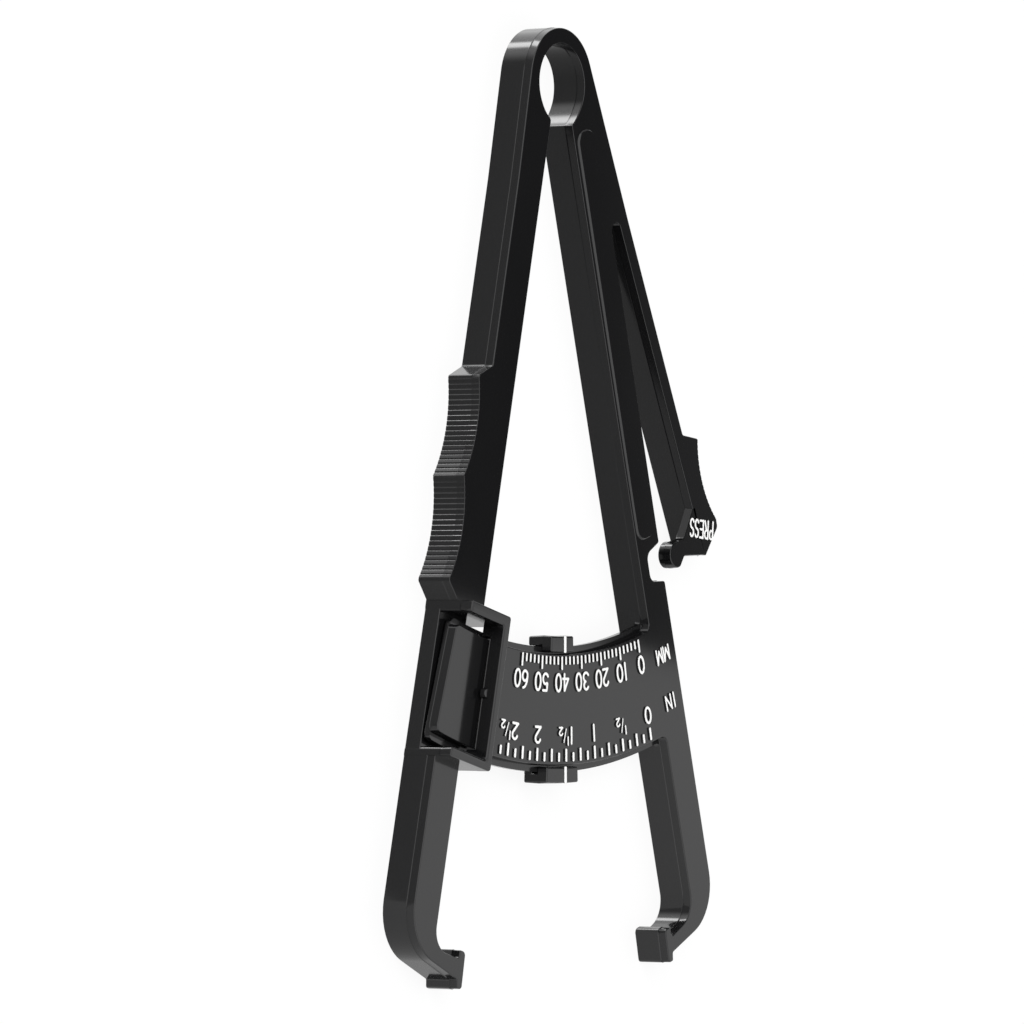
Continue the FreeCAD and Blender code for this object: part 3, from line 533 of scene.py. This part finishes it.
guide.prism(path(turned([
    (GUIDE_REACH, -HOUSING_TOP, 0.6, 0.9), (-HOUSING_SIDE, -HOUSING_TOP, 0.3, 0.9),
    (-WINDOW_SIDE, -WINDOW_TOP, 0.85, SOFT), (bar_inner, -WINDOW_TOP, 0.5),
    (bar_inner, -WINDOW_END, 0.5, SOFT), (-WINDOW_FOOT_SIDE, -WINDOW_END, 0.85, 0.9),
    (-SHANK_TOP, -GUIDE_END, 0.3, 0.9), (GUIDE_REACH, -GUIDE_END, 0.6, 0.9),
], GRIP_ANGLE)), [(BAR_LEVEL, 0.1), (BAR_LEVEL + 0.05, 0.03), (BAR_LEVEL + 0.15, 0.0)]
    + rounded_end(GUIDE_FRONT, -1, 0.3, 0.0))
guide.prism(path(turned(
    arc(bar_inner - 0.05, -nub, NUB_RADIUS, 90, 270, 15)
    + [(bar_inner + 0.6, -nub - NUB_RADIUS), (bar_inner + 0.6, NUB_RADIUS - nub)], GRIP_ANGLE)),
    [(BAR_LEVEL, 0.1), (BAR_LEVEL + 0.1, 0.0)] + rounded_end(BAR_LEVEL + NUB_DEPTH, -1, 0.4, 0.0))
guide.prism(path(turned([
    (-SHANK_TOP, -WINDOW_END - PLATE_OVERLAP), (-GRIP_INNER, -WINDOW_END - PLATE_OVERLAP),
    (-GRIP_INNER, PLATE_OVERLAP - WINDOW_TOP), (-WINDOW_SIDE, PLATE_OVERLAP - WINDOW_TOP)], GRIP_ANGLE)),
    BACK_EDGE + rounded_end(GUIDE_BACK, -1, 0.2, 0.04))
for near, far in ((BLADE_INNER - LIP_GAP, HOUSING_TOP + 0.6), (GUIDE_END - 0.6, BLADE_OUTER + LIP_GAP)):
    lip = [(0.4, -near, 0.3), (GUIDE_REACH - 0.15, -near, 0.3), (GUIDE_REACH - 0.15, -far), (0.4, -far)]
    guide.prism(path(turned(lip, GRIP_ANGLE)),
                [(PARTING + 0.5, 0.1), (PARTING + 0.6, 0.0), (BAR_LEVEL + 0.05, 0.0)])
finish_piece(guide.build("guide_window", [black]), "grip_side",
             nodes=["guide_top_wall", "guide_bottom_wall", "guide_back_plate", "guide_front_bar"])

# ---- lower shank and its jaw ---------------------------------------------------------------------
shank = Shell()
shank.prism(path(turned(
    [(-SHANK_TOP, -GUIDE_END)]
    + mirrored(jaw(SHANK_INNER, SHANK_OUTER, **GRIP_JAW))
    + [(-SHANK_INNER, -GUIDE_END, 0.0, 0.0)], GRIP_ANGLE)), SIDES)
finish_piece(shank.build("grip_shank_jaw", [black]), "grip_side", nodes=["grip_shank", "grip_jaw"])

# ---- press lever: flexure, bar, thumb pad and latch ----------------------------------------------
lever = Shell()
pad_end, pad_top = LEVER_OUTER + THUMB_END_HEIGHT, LEVER_OUTER + THUMB_HEIGHT
lever.prism(path(turned(
    [(LEVER_INNER, -FLEXURE_TOP, 0.0, SHARP), (LEVER_INNER, -THUMB_FOOT, 0.3),
     (LEVER_INNER + THUMB_TOE, -THUMB_FOOT - THUMB_TOE * math.tan(math.radians(LEVER_ANGLE)), 0.2),
     (pad_end, -THUMB_CORNER, 1.2)]
    + hollow((pad_end, -THUMB_END), (pad_top, -THUMB_TOP - 0.4), THUMB_DISH, RIB_DEPTH)
    + [(pad_top, -THUMB_TOP, 0.5), (LEVER_OUTER, -THUMB_START, 0.6),
       (LEVER_OUTER, -FLEXURE_TOP, 0.0, 0.0)], LEVER_ANGLE)), SIDES)
lug_circle = (-LUG_PLACE, LUG_HIGHER - LUG_DISTANCE, LUG_RADIUS + LUG_WIDER)
flange = path(turned(
    [(FLANGE_FOOT, -FLANGE_END, 0.5), (LEVER_INNER + 0.5, -THUMB_FOOT - 0.15),
     (LEVER_INNER + 1.2, -FLANGE_TOP), (LEVER_INNER, -FLANGE_TOP, 0.4),
     (FLANGE_NECK, -FLANGE_SLANT_END, 1.2)] + arc(*lug_circle, 80, 275, 9), LEVER_ANGLE))
lever.prism(flange, [(PARTING, 0.15), (PARTING + 0.15, 0.0)] + rounded_end(DEPTH, -1))
lug = path(turned(arc(*lug_circle, 0, 351, 9), LEVER_ANGLE))
lever.prism(lug, rounded_end(DEPTH - LUG_DEPTH - LUG_DEEPER, 1, 0.3, 0.04) + [(PARTING + 0.6, 0.04)])
lever = finish_piece(lever.build("press_lever_latch", [black]),
                     nodes=["lever_flexure", "press_lever", "thumb_pad", "latch_lug"])
bend_from = turned([((LEVER_INNER + LEVER_OUTER) / 2, -FLEXURE_TOP)], LEVER_ANGLE)[0]
bend_to = turned([((LEVER_INNER + LEVER_OUTER) / 2, -FLEXURE_END)], LEVER_ANGLE)[0]
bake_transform(lever)

# ---- cursor --------------------------------------------------------------------------------------
cursor = Shell()


def clip(inner, outer, lip_inner, lip_outer, left, right, middle):
    """One clip, by its radii. Left and right are lengths along the middle radius."""
    start = CURSOR_ANGLE + math.degrees(right / middle)
    end = CURSOR_ANGLE - math.degrees(left / middle)

    def sector(a, b):
        near, far = blade_arc(a, start, end), blade_arc(b, end, start)
        return path([near[0][:2] + (0.5,)] + near[1:-1] + [near[-1][:2] + (0.5,)]
                    + [far[0][:2] + (0.5,)] + far[1:-1] + [far[-1][:2] + (0.5,)])
    cursor.prism(sector(inner, outer), rounded_end(CLIP_BACK, 1, 0.25) + [(CLIP_LIP, 0.0)])
    cursor.prism(sector(lip_inner, lip_outer), [(CLIP_LIP, 0.0)] + rounded_end(CLIP_FRONT, -1, 0.3))


clip(UPPER - CLIP_WALL, UPPER, UPPER - CLIP_WALL, BLADE_INNER - LIP_GAP, UPPER_LEFT, UPPER_RIGHT, UPPER)
clip(LOWER, LOWER + CLIP_WALL, BLADE_OUTER + LIP_GAP, LOWER + CLIP_WALL, LOWER_LEFT, LOWER_RIGHT, LOWER)
cursor.prism(path(turned([
    (UPPER - SLIDE_OVERLAP, -SLIDE_LEFT[0]), (LOWER + SLIDE_OVERLAP, -SLIDE_LEFT[1]),
    (LOWER + SLIDE_OVERLAP, SLIDE_RIGHT[1], 0.3), (UPPER - SLIDE_OVERLAP, SLIDE_RIGHT[0], 0.3)],
    CURSOR_ANGLE - 90)),
    rounded_end(CLIP_BACK, 1, 0.2) + rounded_end(CLIP_BACK + CLIP_THICKNESS, -1, 0.2))
finish_piece(cursor.build("cursor_slider", [black]), "cursor_side", nodes=["cursor"])


# ---- raised marks: dark side walls, white tops ---------------------------------------------------
def mark(shell, outline, bottom, top, holes=()):
    """A raised mark with a rounded white top."""
    levels = [(bottom, 0.0), (top - 0.07, 0.0), (top - 0.02, 0.03), (top, 0.08)]
    shell.prism(outline, levels, holes=holes, kinds=[0, 1, 1])


def bar_mark(shell, inner, outer, width, degrees, bottom, top):
    """A tick along a radius of the blade."""
    half = width / 2
    corners = [(inner, -half, 0.2), (outer, -half, 0.2), (outer, half, 0.2), (inner, half, 0.2)]
    mark(shell, path(turned(corners, degrees - 90)), bottom, top)


ticks = Shell()
start = BLADE_INNER + MILLIMETRE_MARGIN
for n in range(MILLIMETRE_SPAN // MILLIMETRE_STEP + 1):
    length = MILLIMETRE_LONG if n % 5 == 0 else MILLIMETRE_SHORT
    bar_mark(ticks, start, start + length, MILLIMETRE_WIDTH,
             ZERO_ANGLE - MILLIMETRE_STEP * n * DEGREES_PER_MM, DEPTH - MARK_SUNK, DEPTH + MARK_RISE)
finish_piece(ticks.build("millimetre_marks", [black, white]), "scale_side",
             ["millimetre_ticks"])
ticks = Shell()
end = BLADE_OUTER - INCH_MARGIN
for n in range(INCH_EIGHTHS + 1):
    length = INCH_LONG if n % 2 == 0 else INCH_SHORT
    bar_mark(ticks, end - length, end, INCH_WIDTH,
             ZERO_ANGLE - INCH / 8 * n * DEGREES_PER_MM, DEPTH - MARK_SUNK, DEPTH + MARK_RISE)
finish_piece(ticks.build("inch_marks", [black, white]), "scale_side", ["inch_ticks"])
lines = Shell()
for inner, outer in ((UPPER - INDEX_LENGTH, BLADE_INNER - LIP_GAP),
                     (BLADE_OUTER + LIP_GAP, LOWER + INDEX_LENGTH)):
    bar_mark(lines, inner, outer, INDEX_WIDTH, CURSOR_ANGLE, CLIP_FRONT - MARK_SUNK, CLIP_FRONT + INDEX_RISE)
finish_piece(lines.build("index_lines", [black, white]), "cursor_side", ["index_marks"])


# ---- numerals and letters, in strokes ------------------------------------------------------------
def bow(cx, cy, rx, ry, start, end):
    """Points of an ellipse's arc, in degrees."""
    count = max(4, math.ceil(abs(end - start) / 18))
    angles = [math.radians(start + (end - start) * n / count) for n in range(count + 1)]
    return [(cx + rx * math.cos(a), cy + ry * math.sin(a)) for a in angles]


# Strokes in a square of side 1. The word loop closes the stroke after it.
STROKES = {
    "0": ["loop", bow(0.5, 0.5, 0.42, 0.46, 0, 342)],
    "1": [[(0.5, 0.04), (0.5, 0.96)]],
    "2": [bow(0.5, 0.7, 0.38, 0.25, 165, -38) + [(0.12, 0.06)], [(0.1, 0.05), (0.9, 0.05)]],
    "3": [bow(0.46, 0.73, 0.36, 0.22, 155, -75), bow(0.46, 0.28, 0.42, 0.24, 80, -155)],
    "4": [[(0.7, 0.04), (0.7, 0.92)], [(0.66, 0.92), (0.08, 0.31)], [(0.06, 0.29), (0.94, 0.29)]],
    "5": [[(0.84, 0.95), (0.24, 0.95)],
          [(0.22, 0.92), (0.14, 0.54)] + bow(0.46, 0.32, 0.42, 0.28, 130, -150)],
    "6": ["loop", bow(0.5, 0.31, 0.4, 0.27, 0, 342), bow(0.72, 0.36, 0.62, 0.6, 92, 178)],
    "/": [[(0.2, 0.02), (0.8, 0.98)]],
    "M": [[(0.07, 0.03), (0.07, 0.97)], [(0.1, 0.94), (0.5, 0.15)], [(0.5, 0.15), (0.9, 0.94)],
          [(0.93, 0.97), (0.93, 0.03)]],
    "I": [[(0.5, 0.03), (0.5, 0.97)]],
    "N": [[(0.1, 0.03), (0.1, 0.97)], [(0.12, 0.93), (0.88, 0.07)], [(0.9, 0.03), (0.9, 0.97)]],
    "P": [[(0.12, 0.03), (0.12, 0.97)], [(0.14, 0.95), (0.45, 0.95)] + bow(0.5, 0.73, 0.38, 0.22, 90, -90)
          + [(0.14, 0.51)]],
    "R": [[(0.12, 0.03), (0.12, 0.97)], [(0.14, 0.95), (0.45, 0.95)] + bow(0.5, 0.74, 0.38, 0.21, 90, -90)
          + [(0.14, 0.53)], [(0.5, 0.5), (0.9, 0.04)]],
    "E": [[(0.12, 0.03), (0.12, 0.97)], [(0.14, 0.95), (0.9, 0.95)], [(0.14, 0.51), (0.8, 0.51)],
          [(0.14, 0.05), (0.9, 0.05)]],
    "S": [bow(0.5, 0.74, 0.38, 0.22, 25, 255) + bow(0.5, 0.27, 0.4, 0.23, 75, -155)],
}


def ribbon(points, half):
    """Outline of a stroke with round ends."""
    left, right = [], []
    for i, p in enumerate(points):
        a, b = Vector(points[max(0, i - 1)]), Vector(points[min(len(points) - 1, i + 1)])
        along = (b - a).normalized()
        left.append((p[0] - along.y * half, p[1] + along.x * half, 1.0))
        right.append((p[0] + along.y * half, p[1] - along.x * half, 1.0))
    ends = []
    for tip, before in ((points[-1], points[-2]), (points[0], points[1])):
        a = math.degrees(math.atan2(tip[1] - before[1], tip[0] - before[0]))
        ends.append([(q[0], q[1], 1.0) for q in arc(tip[0], tip[1], half, a - 90, a + 90, 30)][1:-1])
    return right + ends[0] + left[::-1] + ends[1]


STROKE_STEP = 0.003              # a stroke lies this much lower than the last, so no tops share a plane
ADVANCE = {"1": 0.55, "I": 0.55, "h": 1.55}     # widths of the signs that aren't 1 wide


def glyph(shell, letter, left, bottom, width, height, half, place, top):
    """One sign, by its box. place puts points where the text stands, and half is half a stroke."""
    loop = False
    for n, stroke in enumerate(STROKES[letter]):
        if stroke == "loop":
            loop = True
            continue
        points = [(left + x * width, bottom + y * height) for x, y in stroke]
        rise = top - STROKE_STEP * n
        if loop:
            loop = False
            middle = [(x, y, 1.0) for x, y in points]
            outer = place([(x, y, 1.0) for x, y in inset(middle, -half)])
            inner = place([(x, y, 1.0) for x, y in reversed(inset(middle, half))])
            mark(shell, outer, DEPTH - MARK_SUNK, rise, holes=[inner])
        else:
            mark(shell, place(ribbon(points, half)), DEPTH - MARK_SUNK, rise)


def label(shell, text, centre, up, height, width, gap, half):
    """Text about a point, with its top towards up, in degrees from +X. h is a half in small figures."""
    top = DEPTH + MARK_RISE
    advance = [width * ADVANCE.get(c, 1.0) for c in text]
    left = -(sum(advance) + gap * (len(text) - 1)) / 2

    def place(points):
        return [(q[0] + centre[0], q[1] + centre[1]) + tuple(q[2:]) for q in turned(points, up - 90)]
    for c, w in zip(text, advance):
        if c == "h":
            small = width * 0.62
            glyph(shell, "1", left - 0.1 * width, 0.06 * height, small * 0.7, height * 0.5, half * 0.72,
                  place, top)
            glyph(shell, "/", left + 0.3 * width, -0.4 * height, 0.6 * width, 0.8 * height, half * 0.5,
                  place, top - 0.01)
            glyph(shell, "2", left + w - small, -height / 2, small, height * 0.5, half * 0.72, place, top)
        else:
            glyph(shell, c, left, -height / 2, w, height, half, place, top)
        left += w + gap


# Height, width and gap of the signs, and half the width of a stroke.
MILLIMETRE_TEXT, INCH_TEXT = (3.37, 2.0, 0.35, 0.25), (3.15, 2.1, 0.3, 0.25)
UNIT_TEXT, PRESS_TEXT = (2.9, 2.05, 0.33, 0.2), (3.5, 1.42, 0.25, 0.22)
MILLIMETRE_ROW, INCH_ROW = 109.2, 118.85                # radii of the numerals' middles
UNIT_PLACES = (("MM", (31.7, -104.8)), ("IN", (34.25, -113.5)))
PRESS_PLACE, PRESS_UP = (45.52, -81.55), -95.6

figures = Shell()
for value in range(0, MILLIMETRE_SPAN + 1, 10):
    angle = ZERO_ANGLE - value * DEGREES_PER_MM
    label(figures, str(value), on_blade(MILLIMETRE_ROW, angle), angle - 90, *MILLIMETRE_TEXT)
finish_piece(figures.build("millimetre_numerals", [black, white]), "scale_side")
figures = Shell()
for n, text in enumerate(("0", "h", "1", "1h", "2", "2h")):
    angle = ZERO_ANGLE - INCH / 2 * n * DEGREES_PER_MM
    label(figures, text, on_blade(INCH_ROW, angle), angle - 90, *INCH_TEXT)
finish_piece(figures.build("inch_numerals", [black, white]), "scale_side")
words = Shell()
for text, centre in UNIT_PLACES:
    label(words, text, centre, math.degrees(math.atan2(centre[1], centre[0])), *UNIT_TEXT)
finish_piece(words.build("unit_letters", [black, white]), "scale_side")
words = Shell()
label(words, "PRESS", PRESS_PLACE, PRESS_UP, *PRESS_TEXT)
finish_piece(words.build("press_letters", [black, white]), "press_lever_side")


# ---- studio --------------------------------------------------------------------------------------
class Nodes:
    """Short calls for the maths nodes of one tree."""

    def __init__(self, tree):
        self.tree = tree

    def put(self, socket, value):
        if isinstance(value, bpy.types.NodeSocket):
            self.tree.links.new(value, socket)
        else:
            socket.default_value = value

    def maths(self, kind, a, b=0.0):
        node = self.tree.nodes.new("ShaderNodeMath")
        node.operation = kind
        self.put(node.inputs[0], a)
        self.put(node.inputs[1], b)
        return node.outputs[0]

    def ramp(self, value, start, end):
        """0 at start and 1 at end, which may be the lower one."""
        node = self.tree.nodes.new("ShaderNodeMapRange")
        node.interpolation_type = "SMOOTHSTEP"
        self.put(node.inputs["Value"], value)
        node.inputs["From Min"].default_value, node.inputs["From Max"].default_value = start, end
        return node.outputs["Result"]

    def band(self, value, start, end, soft):
        """1 between start and end, with soft borders."""
        return self.maths("MULTIPLY", self.ramp(value, start - soft, start + soft),
                          self.ramp(value, end + soft, end - soft))

    def mix(self, factor, a, b):
        """a where factor is 0 and b where it is 1."""
        return self.maths("ADD", self.maths("MULTIPLY", self.maths("SUBTRACT", 1.0, factor), a),
                          self.maths("MULTIPLY", factor, b))


# The world is plain white to the camera and DIFFUSE_LIGHT to the object. Only what the gloss mirrors is
# shaded, by the mirrored ray's direction (x, y, z). Around is its angle from -X towards +Y, in radians.
DIFFUSE_LIGHT = 0.55
HORIZON, MIDDLE = 0.05, 0.1                     # half widths of the soft borders at z = 0 and x = 0
HIGH_RIGHT, HIGH_LEFT = 1.0, 1.7
LOW_TOP, LOW_END, END_FROM, END_TO = 0.40, 0.5, -0.2, -0.8
LOW_RIGHT, RIGHT_FROM, RIGHT_TO = 1.05, 0.6, 0.78
GLOW, GLOW_FROM, GLOW_TO, GLOW_SOFT = 1.4, math.radians(58), math.radians(154), 0.22
BOX, BOX_FROM, BOX_TO, BOX_SOFT = 8.0, math.radians(82), math.radians(96), 0.05
BOX_LOW, BOX_HIGH = -0.75, -0.35

world = bpy.data.worlds.new("studio")
bpy.context.scene.world = world
world.use_nodes = True
tree = world.node_tree
sums = Nodes(tree)
rays = tree.nodes.new("ShaderNodeLightPath")
aim = tree.nodes.new("ShaderNodeSeparateXYZ")
tree.links.new(tree.nodes.new("ShaderNodeTexCoord").outputs["Generated"], aim.inputs[0])
x, y, z = aim.outputs
below = sums.ramp(z, HORIZON, -HORIZON)
around = sums.maths("ARCTAN2", y, sums.maths("MULTIPLY", x, -1.0))
low_room = sums.mix(sums.ramp(y, END_FROM, END_TO), LOW_TOP, LOW_END)
broad_glow = sums.band(around, GLOW_FROM, GLOW_TO, GLOW_SOFT)
low_room = sums.maths("ADD", low_room, sums.maths("MULTIPLY", broad_glow, GLOW))
soft_box = sums.maths("MULTIPLY", sums.band(around, BOX_FROM, BOX_TO, BOX_SOFT),
                      sums.band(z, BOX_LOW, BOX_HIGH, BOX_SOFT))
low_room = sums.maths("ADD", low_room, sums.maths("MULTIPLY", soft_box, BOX))
low_room = sums.mix(sums.ramp(x, RIGHT_FROM, RIGHT_TO), low_room, LOW_RIGHT)
room = sums.mix(below, sums.mix(sums.ramp(x, MIDDLE, -MIDDLE), HIGH_RIGHT, HIGH_LEFT), low_room)
seen = sums.maths("MAXIMUM", rays.outputs["Is Camera Ray"], rays.outputs["Is Transmission Ray"])
strength = sums.mix(seen, sums.mix(rays.outputs["Is Glossy Ray"], DIFFUSE_LIGHT, room), 1.0)
tree.links.new(strength, tree.nodes["Background"].inputs["Strength"])
tree.nodes["Background"].inputs["Color"].default_value = (1, 1, 1, 1)


def stage_sheet(name, left, bottom, right, top, level):
    """A level rectangle of the stage."""
    corners = [(left, bottom), (right, bottom), (right, top), (left, top)]
    mesh = bpy.data.meshes.new(name)
    mesh.from_pydata([(x * MM, y * MM, level * MM) for x, y in corners], [], [(0, 1, 2, 3)])
    thing = bpy.data.objects.new(name, mesh)
    bpy.context.scene.collection.objects.link(thing)
    return thing


FLOOR_REACH, FLOOR_LEVEL, FLOOR_TONE, FLOOR_ROUGHNESS = 3000, -0.05, 0.9, 0.9
FLOOR_GLOW = 0.9                 # share of the floor's look that is plain white. The rest keeps the shadow
floor = stage_sheet("floor", -FLOOR_REACH, -FLOOR_REACH, FLOOR_REACH, FLOOR_REACH, FLOOR_LEVEL)
material, tree, shader = node_material("pale_floor")
shader.inputs["Base Color"].default_value = (FLOOR_TONE, FLOOR_TONE, FLOOR_TONE, 1)
shader.inputs["Roughness"].default_value = FLOOR_ROUGHNESS
shader.inputs["Specular IOR Level"].default_value = 0.0
glow = tree.nodes.new("ShaderNodeEmission")
glow.inputs["Color"].default_value = (1, 1, 1, 1)
rays = tree.nodes.new("ShaderNodeLightPath")
sums = Nodes(tree)
mirrored_ray = sums.maths("MAXIMUM", rays.outputs["Is Glossy Ray"], rays.outputs["Is Transmission Ray"])
looked_at = sums.maths("MAXIMUM", rays.outputs["Is Camera Ray"], mirrored_ray)
blend = tree.nodes.new("ShaderNodeMixShader")
tree.links.new(sums.maths("MULTIPLY", looked_at, FLOOR_GLOW), blend.inputs[0])
tree.links.new(shader.outputs[0], blend.inputs[1])
tree.links.new(glow.outputs[0], blend.inputs[2])
tree.links.new(blend.outputs[0], tree.nodes["Material Output"].inputs["Surface"])
floor.data.materials.append(material)
floor.visible_glossy = False


def glowing_card(name, sheet, strength_of):
    """A card that only reflections see. strength_of gives its strength from x and y, in metres."""
    card = stage_sheet(name, *sheet)
    material, tree, _ = node_material(name)
    sums = Nodes(tree)
    spot = tree.nodes.new("ShaderNodeSeparateXYZ")
    tree.links.new(tree.nodes.new("ShaderNodeTexCoord").outputs["Object"], spot.inputs[0])
    glow = tree.nodes.new("ShaderNodeEmission")
    sums.put(glow.inputs["Strength"], strength_of(sums, spot.outputs[0], spot.outputs[1]))
    tree.links.new(glow.outputs[0], tree.nodes["Material Output"].inputs["Surface"])
    card.data.materials.append(material)
    for flag in ("visible_camera", "visible_diffuse", "visible_shadow", "visible_transmission"):
        setattr(card, flag, False)


# Places on the cards in metres. The border between dark and white is slanted.
CARD_SLOPE, CARD_PIVOT = 0.16, 0.06
CARD_DARK_ENDS, CARD_WHITE_STARTS = -0.0972, -0.099
CARD_DARK, CARD_GREY, CARD_WHITE, LOW_CARD = 0.03, 0.14, 0.98, 0.85
GREY_FROM, GREY_TO = 0.085, 0.135


def half_white(sums, x, y):
    """Dark above a slanted border, greyer to the right, and white below it."""
    slant = sums.maths("ADD", y, sums.maths("MULTIPLY", sums.maths("SUBTRACT", x, CARD_PIVOT), CARD_SLOPE))
    dark = sums.mix(sums.ramp(x, GREY_FROM, GREY_TO), CARD_DARK, CARD_GREY)
    return sums.mix(sums.ramp(slant, CARD_DARK_ENDS, CARD_WHITE_STARTS), dark, CARD_WHITE)


glowing_card("front_card", (15, -400, 400, 300, 60), half_white)
glowing_card("low_card", (-200, -400, 60, -133.2, -20), lambda sums, x, y: LOW_CARD)


LAMP_TARGET = Vector((0, -0.08, 0))


def lamp(name, place, size, watts):
    """A square lamp aimed at the caliper's middle. The gloss doesn't mirror it."""
    data = bpy.data.lights.new(name, "AREA")
    data.shape, data.size, data.energy = "SQUARE", size, watts
    thing = bpy.data.objects.new(name, data)
    bpy.context.scene.collection.objects.link(thing)
    thing.location = place
    thing.rotation_euler = (LAMP_TARGET - Vector(place)).to_track_quat("-Z", "Y").to_euler()
    thing.visible_glossy = False


lamp("key", (-0.5, 0.25, 0.75), 0.6, 6.0)
lamp("fill", (0.5, -0.3, 0.7), 0.6, 2.5)

# ---- camera, where the photograph was taken ------------------------------------------------------
TARGET, DISTANCE, ROLL = Vector((-17.683, -78.083, 6.75)), 1368.33, -0.00966952     # roll in radians
VIEWED_FROM = Vector((-0.8308, 0.0, 0.5566))
LENS, SENSOR, HALF_PIXEL = 266.655, 36.0, 0.5 / 1024
camera = bpy.data.objects.new("camera", bpy.data.cameras.new("camera"))
bpy.context.scene.collection.objects.link(camera)
camera.data.sensor_width, camera.data.lens = SENSOR, LENS
camera.data.clip_start, camera.data.clip_end = 0.05, 20.0
away = VIEWED_FROM.normalized()
up = Vector((0, 1, 0))
side = up.cross(away)
c, s = math.cos(ROLL), math.sin(ROLL)
right, top = side * c + up * s, up * c - side * s
camera.matrix_world = Matrix.Translation((TARGET + away * DISTANCE) * MM) @ Matrix(
    (right, top, away)).transposed().to_4x4()
camera.data.shift_x, camera.data.shift_y = -HALF_PIXEL, HALF_PIXEL
bpy.context.scene.camera = camera
bpy.context.scene.view_settings.view_transform = "Standard"
